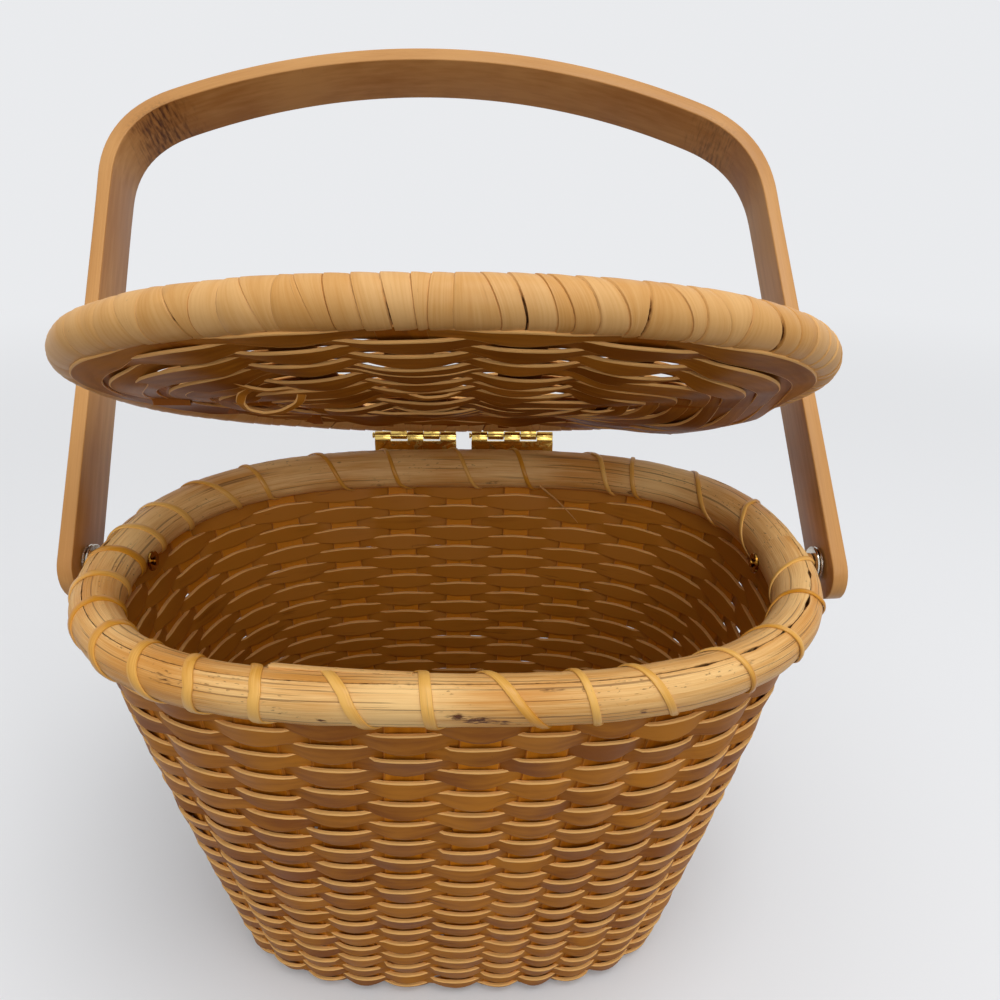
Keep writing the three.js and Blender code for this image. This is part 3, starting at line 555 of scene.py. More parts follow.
def build_grain_group(name, crack_scale, crack_level, fleck_level):
    """Lengthwise fibres of split wood and cane, from a map whose first axis runs along the strip."""
    group, given, result = new_group(
        name,
        [("Vector", "NodeSocketVector", None), ("Dark", "NodeSocketColor", None),
         ("Light", "NodeSocketColor", None), ("Crack", "NodeSocketColor", None),
         ("Crack Amount", "NodeSocketFloat", 0.3),
         ("Tone", "NodeSocketFloat", 0.0), ("Shade And Hollow", "NodeSocketFloat", 0.0)],
        [("Colour", "NodeSocketColor"), ("Height", "NodeSocketFloat"), ("Gloss Mask", "NodeSocketFloat")],
    )
    vector = given.outputs["Vector"]
    fibre = stretched_noise(group, vector, (60, 2600, 60), detail=5)
    band = stretched_noise(group, vector, (22, 420, 22), detail=3, distortion=0.3)
    patch = stretched_noise(group, vector, (28, 90, 28), detail=3)
    crack = stretched_noise(group, vector, crack_scale, detail=3)
    fleck = stretched_noise(group, vector, (420, 900, 420), detail=3)
    broken = calculate(group, "MULTIPLY_ADD", fleck, 4.0, -1.1)
    fleck = calculate(group, "MULTIPLY", remapped(group, fleck, fleck_level, fleck_level + 0.05),
                      remapped(group, patch, 0.5, 0.62))
    grain = 0
    for value, weight in ((fibre, 0.45), (band, 0.4), (patch, 0.35), (given.outputs["Tone"], 0.22)):
        grain = calculate(group, "MULTIPLY_ADD", value, weight, grain)
    grain = remapped(group, grain, 0.36, 0.84)
    base = mixed(group, grain, given.outputs["Dark"], given.outputs["Light"])
    crack_mask = calculate(group, "MAXIMUM", remapped(group, crack, crack_level, crack_level + 0.06), fleck)
    crack_mask = calculate(group, "MULTIPLY", crack_mask, given.outputs["Crack Amount"])
    base = mixed(group, crack_mask, base, given.outputs["Crack"])
    # This input darkens towards the crack colour: the wood's own knots and crackle, and painted shade in the
    # rim's seam and in the steps and gaps of the lid's wrapping.
    shade_and_hollow = calculate(group, "MULTIPLY", given.outputs["Shade And Hollow"], calculate(group, "MAXIMUM", broken, 0.25))
    base = mixed(group, remapped(group, shade_and_hollow, 0.12, 0.8), base, given.outputs["Crack"])
    height = calculate(group, "SUBTRACT", fibre, calculate(group, "MULTIPLY", crack_mask, 1.4))
    link_all(group, (base, result.inputs["Colour"]), (height, result.inputs["Height"]),
             (patch, result.inputs["Gloss Mask"]))


def build_edge_and_highlight_group():
    """Pale cut edges, partly the wood's own paler colour and partly painted highlight, from the strip's own
    edge attribute broken up by a fine grain.
    """
    group, given, result = new_group(
        "Cut Edge And Highlight",
        [("Vector", "NodeSocketVector", None), ("Edge", "NodeSocketFloat", 0.0),
         ("Colour", "NodeSocketColor", None), ("Edge Colour", "NodeSocketColor", None),
         ("Amount", "NodeSocketFloat", 0.8)],
        [("Colour", "NodeSocketColor")],
    )
    rough = stretched_noise(group, given.outputs["Vector"], (160, 160, 160), detail=3)
    rough = calculate(group, "MULTIPLY_ADD", rough, 0.5, -0.25)
    broken = calculate(group, "ADD", given.outputs["Edge"], rough)
    mask = calculate(group, "MULTIPLY", remapped(group, broken, 0.35, 0.8), given.outputs["Amount"])
    shade = mixed(group, mask, given.outputs["Colour"], given.outputs["Edge Colour"])
    group.links.new(shade, result.inputs["Colour"])


def build_metal_group():
    """Tarnish and fine rubbing marks on metal, from places on the object."""
    group, given, result = new_group(
        "Rubbed Metal",
        [("Vector", "NodeSocketVector", None), ("Bright", "NodeSocketColor", None),
         ("Dull", "NodeSocketColor", None)],
        [("Colour", "NodeSocketColor"), ("Roughness", "NodeSocketFloat"), ("Height", "NodeSocketFloat")],
    )
    vector = given.outputs["Vector"]
    cloud = stretched_noise(group, vector, (260, 260, 260), detail=4)
    marks = stretched_noise(group, vector, (300, 2400, 2400), detail=2)
    dull = remapped(group, cloud, 0.45, 0.75)
    tarnish = calculate(group, "MULTIPLY", dull, 0.6)
    shade = mixed(group, tarnish, given.outputs["Bright"], given.outputs["Dull"])
    roughness = calculate(group, "MULTIPLY_ADD", dull, 0.28, 0.14)
    link_all(group, (shade, result.inputs["Colour"]), (roughness, result.inputs["Roughness"]),
             (marks, result.inputs["Height"]))


def new_material(name):
    """A material with its node tree and its shader."""
    material = bpy.data.materials.new(name)
    material.use_nodes = True
    tree = material.node_tree
    return material, tree, tree.nodes["Principled BSDF"]


def attribute(tree, label):
    return add_node(tree, "ShaderNodeAttribute", attribute_name=label).outputs["Fac"]


def placed_group(tree, name, vector, links, colours):
    """A node group in a material: named sockets are linked, or get a colour."""
    node = add_node(tree, "ShaderNodeGroup", node_tree=bpy.data.node_groups[name])
    tree.links.new(vector, node.inputs["Vector"])
    for label, source in links.items():
        tree.links.new(source, node.inputs[label])
    for label, shade in colours.items():
        node.inputs[label].default_value = tuple(shade) + (1,)
    return node


def raise_surface(tree, shader, height, strength, distance):
    raised = add_node(tree, "ShaderNodeBump")
    raised.inputs["Strength"].default_value = strength
    raised.inputs["Distance"].default_value = distance
    link_all(tree, (height, raised.inputs["Height"]), (raised.outputs[0], shader.inputs["Normal"]))


def fibre_material(name, dark, light, crack, edge=None, crack_amount=0.3, roughness=(0.46, 0.64), bump=0.25,
                   edge_amount=0.9, coat=0.0, grain_name="Split Fibre Grain"):
    _, tree, shader = new_material(name)
    vector = add_node(tree, "ShaderNodeUVMap").outputs[0]
    laid = {"Tone": attribute(tree, "tone"), "Shade And Hollow": attribute(tree, "shade_and_hollow")}
    grain = placed_group(tree, grain_name, vector, laid, {"Dark": dark, "Light": light, "Crack": crack})
    grain.inputs["Crack Amount"].default_value = crack_amount
    shade = grain.outputs["Colour"]
    if edge is not None:
        cut = placed_group(tree, "Cut Edge And Highlight", vector, {"Edge": attribute(tree, "edge"), "Colour": shade},
                           {"Edge Colour": edge})
        cut.inputs["Amount"].default_value = edge_amount
        shade = cut.outputs["Colour"]
    gloss = remapped(tree, grain.outputs["Gloss Mask"], 0.35, 0.7, *roughness)
    link_all(tree, (shade, shader.inputs["Base Color"]), (gloss, shader.inputs["Roughness"]))
    shader.inputs["Specular IOR Level"].default_value = 0.22
    shader.inputs["Coat Weight"].default_value = coat
    shader.inputs["Coat Roughness"].default_value = 0.25
    raise_surface(tree, shader, grain.outputs["Height"], bump, 0.3 * MM)


def metal_material(name, bright, dull):
    _, tree, shader = new_material(name)
    place = add_node(tree, "ShaderNodeTexCoord").outputs["Object"]
    rubbed = placed_group(tree, "Rubbed Metal", place, {}, {"Bright": bright, "Dull": dull})
    link_all(tree, (rubbed.outputs["Colour"], shader.inputs["Base Color"]),
             (rubbed.outputs["Roughness"], shader.inputs["Roughness"]))
    shader.inputs["Metallic"].default_value = 1
    raise_surface(tree, shader, rubbed.outputs["Height"], 0.08, 0.2 * MM)


class BASKET_OT_materials(bpy.types.Operator):
    """Makes the finishes of split wood, cane, brass and steel"""
    bl_idname = "basket.materials"
    bl_label = "Materials"

    def execute(self, context):
        shades = context.scene.basket_colours
        build_grain_group("Split Fibre Grain", (34, 1500, 34), 0.66, 0.7)
        build_grain_group("Cane Rind Grain", (13, 820, 13), 0.59, 0.62)
        build_edge_and_highlight_group()
        build_metal_group()
        crack = shades.crack
        for name in ("Weaver Splint", "Lid Splint"):
            fibre_material(name, shades.weaver_dark, shades.weaver_light, crack, edge=shades.weaver_edge,
                           crack_amount=0.35)
        fibre_material("Stake Splint", shades.stake_dark, shades.stake_light, crack, edge=shades.weaver_edge,
                       crack_amount=0.3, edge_amount=0.12)
        fibre_material("Rim Hoop", shades.rim_dark, shades.rim_light, crack, crack_amount=0.55,
                       roughness=(0.36, 0.55), bump=0.6, grain_name="Cane Rind Grain")
        fibre_material("Lashing Cane", shades.cane_dark, shades.cane_light, crack, crack_amount=0.2,
                       roughness=(0.28, 0.42), bump=0.12, coat=0.15)
        fibre_material("Bent Handle", shades.handle_dark, shades.handle_light, crack,
                       edge=shades.handle_light, crack_amount=0.16, roughness=(0.36, 0.5), bump=0.12,
                       edge_amount=0.5, coat=0.1)
        fibre_material("Lid Wrapping", shades.wrap_dark, shades.wrap_light, crack, crack_amount=0.16,
                       roughness=(0.4, 0.55), bump=0.15)
        metal_material("Brass", shades.brass, shades.brass_dull)
        metal_material("Aged Brass", shades.brass_dull, shades.stake_dark)
        metal_material("Steel", shades.steel, shades.steel_dull)
        return {"FINISHED"}


# Stakes reach above the rim's middle, and narrow down the wall to a share of their width on the base
STAKE_REACH = 4.5 * MM
STAKE_NARROWING_HEIGHT = 40 * MM
CROSS_BASE_SHARE = 0.95
LONG_BASE_SHARE = 0.66
STAKE_CORNER_SHARE = 0.03

# Stations of a stake: they stand closer from the turning height down to the base
STAKE_TURNING_HEIGHT = 20 * MM
WALL_STATIONS = 30
TURNING_STATIONS = 14
FLOOR_STATIONS = 60


class BASKET_OT_stakes(bpy.types.Operator):
    """Lays the fourteen stakes that run down one wall, across the base and up the other wall"""
    bl_idname = "basket.stakes"
    bl_label = "Stakes"

    def execute(self, context):
        wall = WallShape(context.scene.basket_body)
        total = len(STAKE_STEPS)
        for number in range(CROSS_STAKES):
            self.lay(wall, f"cross_splint_{number + 1}", number, total - LONG_STAKES - 1 - number,
                     f"cross_stake_{CROSS_STAKES - number}", CROSS_BASE_SHARE)
        for number in range(LONG_STAKES):
            self.lay(wall, f"long_splint_{number + 1}", CROSS_STAKES + number, total - 1 - number,
                     f"long_stake_{number + 1}", LONG_BASE_SHARE, number * 2 + 1)
        return {"FINISHED"}

    def lay(self, wall, name, first, second, node, base_share, weave_row=None):
        sizes = wall.sizes
        climb = (sizes.rim_height + STAKE_REACH - sizes.foot_lift - sizes.foot_radius
                 + sizes.foot_radius * math.pi / 2)
        rises = np.concatenate([np.linspace(climb, STAKE_TURNING_HEIGHT, WALL_STATIONS)[:-1],
                                np.linspace(STAKE_TURNING_HEIGHT, 0, TURNING_STATIONS)])
        middles, acrosses, faces = [], [], []
        for index, way in ((first, 1), (second, -1)):
            levels, inset, bend = wall.climb(rises)
            place, along, outwards = wall.frame(wall.stake_step(index, levels), levels)
            middles.append(place - outwards * inset[:, None])
            acrosses.append(along * way)
            out = outwards * np.sin(bend)[:, None]
            out[:, 2] -= np.cos(bend)
            faces.append(out)
        part = np.linspace(0, 1, FLOOR_STATIONS + 2)[1:-1, None]
        floor = blended(middles[0][-1], middles[1][-1], part)
        if weave_row is not None:
            floor[:, 2] += base_wave(wall, floor[:, 0], weave_row)
        floor_across = blended(acrosses[0][-1], acrosses[1][-1], part)
        floor_face = np.tile([0, 0, -1.0], (FLOOR_STATIONS, 1))
        middle = np.concatenate([middles[0], floor, middles[1][::-1]])
        across = unit(np.concatenate([acrosses[0], floor_across, acrosses[1][::-1]]))
        face = np.concatenate([faces[0], floor_face, faces[1][::-1]])
        up_wall = np.concatenate([rises, np.zeros(FLOOR_STATIONS), rises[::-1]])
        widths = blended(1, base_share, 1 - ramp(up_wall, 0, STAKE_NARROWING_HEIGHT)) * sizes.stake_width
        half_thick = sizes.stake_thickness / 2
        section = flat_section(0.5, half_thick, STAKE_CORNER_SHARE)
        # The section's width is 1 here, so its corners are held within the thickness
        section[:, 1] = np.clip(section[:, 1], -half_thick, half_thick)
        own_tone = np.random.RandomState(SEEDS["stake tone"] + first).uniform(-0.6, 0.6)
        last = len(middle) - 1

        def place(u, v):
            station = station_at(u, last)
            rows = section_at(section, v)
            return (middle[station] + across[station] * (rows[:, 0] * widths[station])[:, None]
                    + face[station] * rows[:, 1:2])

        # The inner faces are painted lighter, as painted light inside the basket.
        piece = laid_band(name, last, len(section), place, run=distance_run(middle)[-1],
                          girth=2 * sizes.stake_width, edge=cut_edges(section),
                          tone=lambda u, v: own_tone + painted_inner_light_tone(sizes, section, v))
        dress(piece, "basket", "stake", "Stake Splint", node)


# Splints that fill the base: their swing, the shares of its depth and width that they take, and their section
BASE_SWING = 1.05 * MM
BASE_SPREAD_SHARE = 0.9
BASE_REACH_SHARE = 0.97
BASE_FILLER_HALF = 5.3 * MM
BASE_END_FILLER_HALF = 3.6 * MM
BASE_FILLER_CORNER = 0.3 * MM


def base_wave(wall, x, row):
    """Rise and fall of a lengthwise splint that weaves over and under the cross stakes on the base."""
    levels = np.full(2, wall.sizes.foot_lift)
    spots = []
    for number in range(CROSS_STAKES):
        ends = np.array([number, len(STAKE_STEPS) - LONG_STAKES - 1 - number])
        spots.append(wall.outline(wall.stake_step(ends, levels), levels)[:, 0].mean())
    index = np.interp(x, spots, np.arange(CROSS_STAKES))
    return float_shape(index + row) * BASE_SWING


class BASKET_OT_base(bpy.types.Operator):
    """Weaves the filling splints of the base over and under the cross stakes"""
    bl_idname = "basket.base"
    bl_label = "Base"

    def execute(self, context):
        sizes = context.scene.basket_body
        wall = WallShape(sizes)
        depth = sizes.base_half_depth - sizes.foot_radius
        power = sizes.base_depth_power
        rows = 2 * LONG_STAKES + 1
        for row in range(0, rows, 2):
            y = blended(-depth, depth, row / (rows - 1)) * BASE_SPREAD_SHARE
            half = BASE_END_FILLER_HALF if row in (0, rows - 1) else BASE_FILLER_HALF
            reach = (sizes.base_half_width - sizes.foot_radius) * BASE_REACH_SHARE
            reach *= (1 - ((abs(y) + half) / sizes.base_half_depth) ** power) ** (1 / power)
            section = flat_section(half, sizes.stake_thickness / 2, BASE_FILLER_CORNER)
            own_tone = np.random.RandomState(SEEDS["base tone"] + row).uniform(-1, 1)

            def place(u, v):
                x = blended(-reach, reach, u) - sizes.base_shift
                spots = section_at(section, v)
                height = sizes.foot_lift + base_wave(wall, x, row) + spots[:, 1]
                return np.stack([x, y + spots[:, 0], height], -1)

            piece = laid_band(f"base_filler_{row // 2 + 1}", 120, len(section), place, run=2 * reach,
                              girth=15 * MM, edge=cut_edges(section), tone=lambda u, v: own_tone + 0 * u)
            dress(piece, "basket", "weave", "Weaver Splint", "base_panel")
        return {"FINISHED"}


# Wall weaving: start of the lowest row, a weaver's half width in its row, its edge, its wandering and leaning
FIRST_ROW_RISE = 0.8 * MM
WEAVER_HALF_SHARE = 0.53
WEAVER_CORNER = 0.28 * MM
WEAVER_WANDER = 0.28 * MM
WEAVER_TILT = 0.25 * MM


class BASKET_OT_wall_weaving(bpy.types.Operator):
    """Weaves the rows of the wall over and under the stakes"""
    bl_idname = "basket.wall_weaving"
    bl_label = "Wall Weaving"

    def execute(self, context):
        sizes = context.scene.basket_body
        wall = WallShape(sizes)
        rise = FIRST_ROW_RISE
        for row in range(sizes.weaver_rows):
            pitch = blended(sizes.lowest_pitch, sizes.highest_pitch, row / (sizes.weaver_rows - 1))
            self.weave(wall, row, rise + pitch / 2, pitch)
            rise += pitch
        return {"FINISHED"}

    def weave(self, wall, row, middle, pitch):
        sizes = wall.sizes
        total = len(STAKE_STEPS)
        rolls = np.random.RandomState(SEEDS["weaver"] + row)
        half = pitch * WEAVER_HALF_SHARE * rolls.uniform(0.98, 1.04)
        thickness = sizes.weaver_thickness / 2 * rolls.uniform(0.85, 1.1)
        section = flat_section(half, thickness, WEAVER_CORNER)
        tip = rolls.uniform(-0.2, 0.45) * MM
        own_tone = rolls.uniform(-1, 1)

        def place(u, v):
            index = u * total
            rows = section_at(section, v)
            wander = smooth_noise(SEEDS["weaver wander"] + row, u, 9) * WEAVER_WANDER
            tilt = smooth_noise(SEEDS["weaver tilt"] + row, u, 12) * WEAVER_TILT + tip
            wave = float_shape(index + row, 0.08)
            reach = rows[:, 0] * (1 + sizes.weaver_fullness * wave * wave)
            depth = np.where(wave > 0, 1, sizes.inner_swing) * wave * sizes.weaver_swing + rows[:, 1]
            depth += tilt * rows[:, 0] / half * np.sign(wave)
            return wall.woven_place(index, middle + wander + reach, depth)

        # Painted highlight: only the upper cut edge of a wall weaver is made pale, where light from above
        # catches it.
        def painted_upper_highlight(u, v):
            rows = section_at(section, v)
            return rows[:, 2] * (rows[:, 0] > 0)

        def tone(u, v):
            wandering = own_tone * 0.35 + smooth_noise(SEEDS["weaver tone"] + row, u, 14) * 0.45
            # Inner faces are painted lighter, as painted light inside the basket.
            return np.clip(wandering, -1.2, 1.2) + painted_inner_light_tone(sizes, section, v)

        piece = laid_band(f"weaver_{row + 1:02d}", total * 10, len(section), place, run=0.68,
                          girth=2.4 * pitch, edge=painted_upper_highlight, tone=tone)
        dress(piece, "basket", "weave", "Weaver Splint", "outer_weave", "inner_weave")


# Hoops: the arc of the round side in degrees, with 90 on top, and the number of places on it
HOOP_ARC = (89, -84)
HOOP_ARC_PLACES = 23

# Heights above the rim's middle: foot of a hoop's flat side, top of the stakes, foot of the seam
HOOP_FLAT_FOOT = -2 * MM
STAKE_TOP = 5.2 * MM
SEAM_FOOT = 5.5 * MM

# Knots are placed by these lengths, in mm: of one step along the rim and of one degree round a hoop
STEP_LENGTH = 9.8
DEGREE_LENGTH = 0.14

# The left front of the rim is browner than the rest: its middle and reach in steps
BROWN_STEP = 45
BROWN_STEPS = 5

# Cut end of the inner hoop's lap: steps round the rim and degrees round the hoop at both ends, turn it covers
SPLICE_STEPS = (49.05, 53.3)
SPLICE_ANGLES = (133, 118)
SPLICE_TURN = 5.4 / 8.1
SPLICE_THICKNESS = 1.9 * MM
SPLICE_CLEARANCE = 0.1 * MM

# Splinter at the back of the rim: its root and its tip in mm, half its width, and how far it bows
SPLINTER_ENDS = ((37.66, 77.5, 165.2), (55.8, 66, 150.95))
SPLINTER_HALF = 1.05 * MM
SPLINTER_BOW = 0.8 * MM

# How much of the back's fullness goes upwards and inwards
BACK_RISE_SHARE = 0.8
BACK_INWARD_SHARE = 1.5


def rim_reach(sizes, step):
    """How far the rim stands up, out and in from its middle: it is fuller at the back."""
    back = np.maximum(0, np.sin(np.asarray(step) / RING_STEPS * TURN)) ** 1.5
    radius = sizes.hoop_radius
    fullness = sizes.back_fullness * back
    return radius + BACK_RISE_SHARE * fullness, radius + 0 * back, radius + BACK_INWARD_SHARE * fullness


def rim_slit(step):
    """How far the two hoops stand apart where they have opened between two turns of the lashing."""
    apart = 0 * np.asarray(step, float)
    for middle, half in RIM_SLITS:
        apart = np.maximum(apart, np.clip(1.2 - np.abs(np.mod(step, RING_STEPS) - middle) / half, 0, 1))
    return apart * RIM_SLIT_WIDTH


class BASKET_OT_rim(bpy.types.Operator):
    """Bends the two half-round hoops round the top of the wall"""
    bl_idname = "basket.rim"
    bl_label = "Rim Hoops"

    def execute(self, context):
        wall = WallShape(context.scene.basket_body)
        sizes = context.scene.basket_rim
        self.bend(wall, sizes, "outer_hoop", "outer_rim_hoop", 1)
        self.bend(wall, sizes, "inner_hoop", "inner_rim_hoop", -1)
        self.splice(wall, sizes)
        self.splinter()
        return {"FINISHED"}

    def splice(self, wall, sizes):
        """The cut end of the inner hoop's lap, lying on top of the hoop."""
        section = np.array([(-0.5, -0.5), (0.5, -0.5), (0.5, 0.1), (0.3, 0.42), (0, 0.5), (-0.3, 0.42),
                            (-0.5, 0.1)])

        def place(u, v):
            step = blended(*SPLICE_STEPS, u)
            rows = section_at(section, v)
            high, _, inside = rim_reach(sizes, step)
            thin = SPLICE_THICKNESS * (1 - 0.75 * u ** 1.5)
            angle = np.radians(blended(*SPLICE_ANGLES, u)) - rows[:, 0] * SPLICE_TURN * (1 - 0.35 * u)
            radius = SPLICE_CLEARANCE + thin * (rows[:, 1] + 0.3)
            return wall.point(step, wall.sizes.rim_height + (high + radius) * np.sin(angle),
                              (inside + radius) * np.cos(angle))

        piece = laid_band("hoop_splice", 48, len(section), place, run=0.042, girth=0.014,
                          shade_and_hollow=lambda u, v: np.where(u < 0.01, 0.5, 0))
        dress(piece, "basket", "rim", "Rim Hoop", "inner_rim_hoop")

    def splinter(self):
        """A sliver that has split from the inner hoop at the back and points down into the basket."""
        start, end = np.array(SPLINTER_ENDS) * MM
        ahead = unit(end - start)
        side = unit(np.cross(ahead, (0, 0.6, 0.8)))
        over = np.cross(side, ahead)

        def place(u, v):
            angle = v * TURN
            middle = blended(start, end, u[:, None]) + over * (np.sin(u * math.pi) * SPLINTER_BOW)[:, None]
            half = (SPLINTER_HALF * (1 - u ** 2 * 0.85))[:, None]
            return middle + side * half * np.cos(angle)[:, None] + over * half * 0.45 * np.sin(angle)[:, None]

        piece = laid_band("rim_splinter", 20, 8, place, run=0.026, girth=0.006, smooth_degrees=60)
        dress(piece, "basket", "rim", "Rim Hoop", "inner_rim_hoop")

    def bend(self, wall, sizes, name, node, face):
        """A hoop's section runs down its round side, from there up its flat side and out to the seam."""
        rim_middle = wall.sizes.rim_height
        lean = math.degrees(math.asin(sizes.seam_shift / sizes.hoop_radius)) * face
        arc = np.radians(np.linspace(HOOP_ARC[0] - lean, HOOP_ARC[1], HOOP_ARC_PLACES))
        places = len(arc) + 3
        seed = SEEDS["outer hoop" if face > 0 else "inner hoop"]

        def spot_at(v):
            spot = station_at(v, places) % places
            return spot, arc[np.minimum(spot, len(arc) - 1)]

        def place(u, v):
            step = u * RING_STEPS
            spot, angle = spot_at(v)
            high, out, inside = rim_reach(sizes, step)
            swell = 1 + 0.014 * smooth_noise(seed, u, 40) + 0.006 * smooth_noise(seed + 1, u, 130)
            ridge = 1 + 0.012 * smooth_noise(seed + 2, v, 7) * smooth_noise(seed + 3, u, 30)
            reach = (out if face > 0 else inside) * np.cos(angle) * swell * ridge
            level = high * np.sin(angle) * swell
            seam = face * sizes.seam_shift + sizes.hoop_seam + rim_slit(step)
            reach = np.maximum(reach, np.where(level > STAKE_TOP, seam, sizes.hoop_gap))
            flat_side = ((sizes.hoop_gap, HOOP_FLAT_FOOT), (sizes.hoop_gap, STAKE_TOP), (seam, SEAM_FOOT))
            for number, (flat_reach, flat_level) in enumerate(flat_side, len(arc)):
                reach = np.where(spot == number, flat_reach, reach)
                level = np.where(spot == number, flat_level, level)
            return wall.point(step, rim_middle + level, face * reach)

        def shade_and_hollow(u, v):
            spot, angle = spot_at(v)
            degrees = np.degrees(angle) if face > 0 else 180 - np.degrees(angle)
            # Painted shade: the flat side and the seam between the hoops are painted almost black, and the
            # top of the round side beside the seam a little darker; the knots and holes are the wood's own
            # marks.
            dark = np.where(spot >= len(arc), 0.95, np.where(spot == 0, 0.3, 0))
            for step, middle, half_length, half_height, depth in RIM_KNOTS:
                along = (u * RING_STEPS - step) * STEP_LENGTH / half_length
                around = (degrees - middle) * DEGREE_LENGTH / half_height
                knot = depth * np.exp(-along ** 2 - around ** 2)
                dark = np.maximum(dark, np.where(spot < len(arc), knot, 0))
            return dark

        def tone(u, v):
            brown = np.exp(-((u * RING_STEPS - BROWN_STEP) / BROWN_STEPS) ** 2)
            return smooth_noise(seed + 4, u, 16) * 0.5 - 0.35 * brown

        piece = laid_band(name, RING_STEPS * 12, places, place, run=0.7, girth=0.04, shade_and_hollow=shade_and_hollow, tone=tone,
                          smooth_degrees=50)
        dress(piece, "basket", "rim", "Rim Hoop", node)


# Lashing: stations in each turn, the degree at which the first turn starts, and the gap under the cane
LASHING_STATIONS = 40
LASHING_START = -90
LASHING_CLEARANCE = 0.12 * MM


class BASKET_OT_lashing(bpy.types.Operator):
    """Winds the cane round both hoops, once for each stake that comes up the wall"""
    bl_idname = "basket.lashing"
    bl_label = "Rim Lashing"

    def execute(self, context):
        wall = WallShape(context.scene.basket_body)
        sizes = context.scene.basket_rim
        turns = len(STAKE_STEPS)
        stations = turns * LASHING_STATIONS
        marks = np.array(sorted((wound * 360 - degrees, step) for wound, degrees, step in LASHING_MARKS))
        round_once = (turns * 360, RING_STEPS)
        marks = np.concatenate([marks[-4:] - round_once, marks, marks[:4] + round_once])
        section = np.array([(-0.5, -0.5), (0.5, -0.5), (0.47, 0.1), (0.25, 0.5), (-0.25, 0.5), (-0.47, 0.1)])

        def centre(u):
            travelled = np.asarray(u) * turns * 360 + LASHING_START
            step = np.interp(travelled, marks[:, 0], marks[:, 1])
            angle = np.radians(-travelled)
            high, out, inside = rim_reach(sizes, step)
            side = np.cos(angle)
            lift = sizes.lashing_thickness * 0.5 + LASHING_CLEARANCE
            reach = np.where(side > 0, out, inside) + lift
            place, _, outwards = wall.frame(step, wall.sizes.rim_height + (high + lift) * np.sin(angle))
            normal = outwards * side[..., None]
            normal[..., 2] += np.sin(angle)
            return place + outwards * (reach * side)[..., None], normal

        def place(u, v):
            middle, normal = centre(u)
            ahead = centre(u + 0.1 / stations)[0] - centre(u - 0.1 / stations)[0]
            across = unit(np.cross(ahead, normal))
            rows = section_at(section, v)
            at_back = ramp(middle[:, 1], 20 * MM, 70 * MM)
            at_right = ramp(middle[:, 0], -30 * MM, 90 * MM)
            width = sizes.lashing_width * (1 + 0.1 * smooth_noise(SEEDS["lashing width"], u, 40))
            width *= 1 - sizes.back_narrowing * np.maximum(at_back, at_right)
            return (middle + across * (rows[:, 0] * width)[:, None]
                    + normal * (rows[:, 1] * sizes.lashing_thickness)[:, None])

        piece = laid_band("lashing", stations, len(section), place, run=1.9, girth=0.009,
                          tone=lambda u, v: smooth_noise(SEEDS["lashing tone"], u, 30), smooth_degrees=50)
        dress(piece, "basket", "cane", "Lashing Cane", "rim_lashing")
        return {"FINISHED"}


# Steps of the handle's path, and the share of its quarter turn that a foot covers
LEG_STEPS = 14
CROWN_STEPS = 40
FOOT_STEPS = 10
FOOT_TURN_SHARE = 0.97

# The bar thickens over this height, which starts 3.2 such heights above the pivots
GROWTH_HEIGHT = 50 * MM
GROWTH_START = 3.2


def handle_path(sizes):
    """Middle line of the bent bar in its own upright frame, from the right foot to the left foot."""
    right_pivot = np.array([sizes.pivot_half_span, 0])
    left_pivot = -right_pivot
    right_corner = right_pivot + (-sizes.right_corner_in, sizes.right_corner_up)
    left_corner = left_pivot + (-sizes.left_corner_out, sizes.left_corner_up)
    width = np.linalg.norm(left_corner - right_corner)
    run = (left_corner - right_corner) / width
    rise = np.array([run[1], -run[0]])
    radius = (width ** 2 / 4 + sizes.crown_rise ** 2) / (2 * sizes.crown_rise)
    half_turn = math.asin(width / 2 / radius)
    centre = (right_corner + left_corner) / 2 + rise * (sizes.crown_rise - radius)

    def crown(angle):
        return centre + rise * radius * math.cos(angle) + run * radius * math.sin(angle)

    def half(pivot, corner, angle):
        """A straight leg and the bend that leads from it into the crown."""
        leg = unit(corner - pivot)
        leg_top = corner - leg * sizes.corner_setback
        crown_end, crown_way = crown(angle), run * math.cos(angle) - rise * math.sin(angle)
        cross = leg[0] * crown_way[1] - leg[1] * crown_way[0]
        gap = crown_end - leg_top
        bend = leg_top + leg * (gap[0] * crown_way[1] - gap[1] * crown_way[0]) / cross
        points = [blended(pivot, leg_top, number / LEG_STEPS) for number in range(LEG_STEPS + 1)]
        for number in range(1, LEG_STEPS + 1):
            part = number / LEG_STEPS
            points.append(blended(blended(leg_top, bend, part), blended(bend, crown_end, part), part))
        return points, leg

    right_end = -half_turn + sizes.corner_setback / radius
    right, right_leg = half(right_pivot, right_corner, right_end)
    left, left_leg = half(left_pivot, left_corner, -right_end)
    over = [crown(blended(right_end, -right_end, number / CROWN_STEPS)) for number in range(1, CROWN_STEPS)]
    half_width = sizes.width / 2

    def foot(pivot, leg):
        """Places down from the end of the foot to the pivot, with half the bar's width there."""
        spots = []
        for number in range(FOOT_STEPS, -1, -1):
            angle = number / FOOT_STEPS * math.pi / 2 * FOOT_TURN_SHARE
            drop = sizes.foot_drop - half_width + half_width * math.sin(angle)
            spots.append((pivot - leg * drop, half_width * math.cos(angle)))
        return spots

    stations = foot(right_pivot, right_leg) + [(point, half_width) for point in right + over + left[::-1]]
    stations += foot(left_pivot, left_leg)[::-1]
    return np.array([point for point, _ in stations]), np.array([half_here for _, half_here in stations])


def leaned(points, angle, centre):
    """Turns points back about a line along X through a centre given by its Y and Z."""
    y = points[..., 1] * math.cos(angle) + points[..., 2] * math.sin(angle)
    z = -points[..., 1] * math.sin(angle) + points[..., 2] * math.cos(angle)
    return np.stack([points[..., 0], y + centre[0], z + centre[1]], -1)


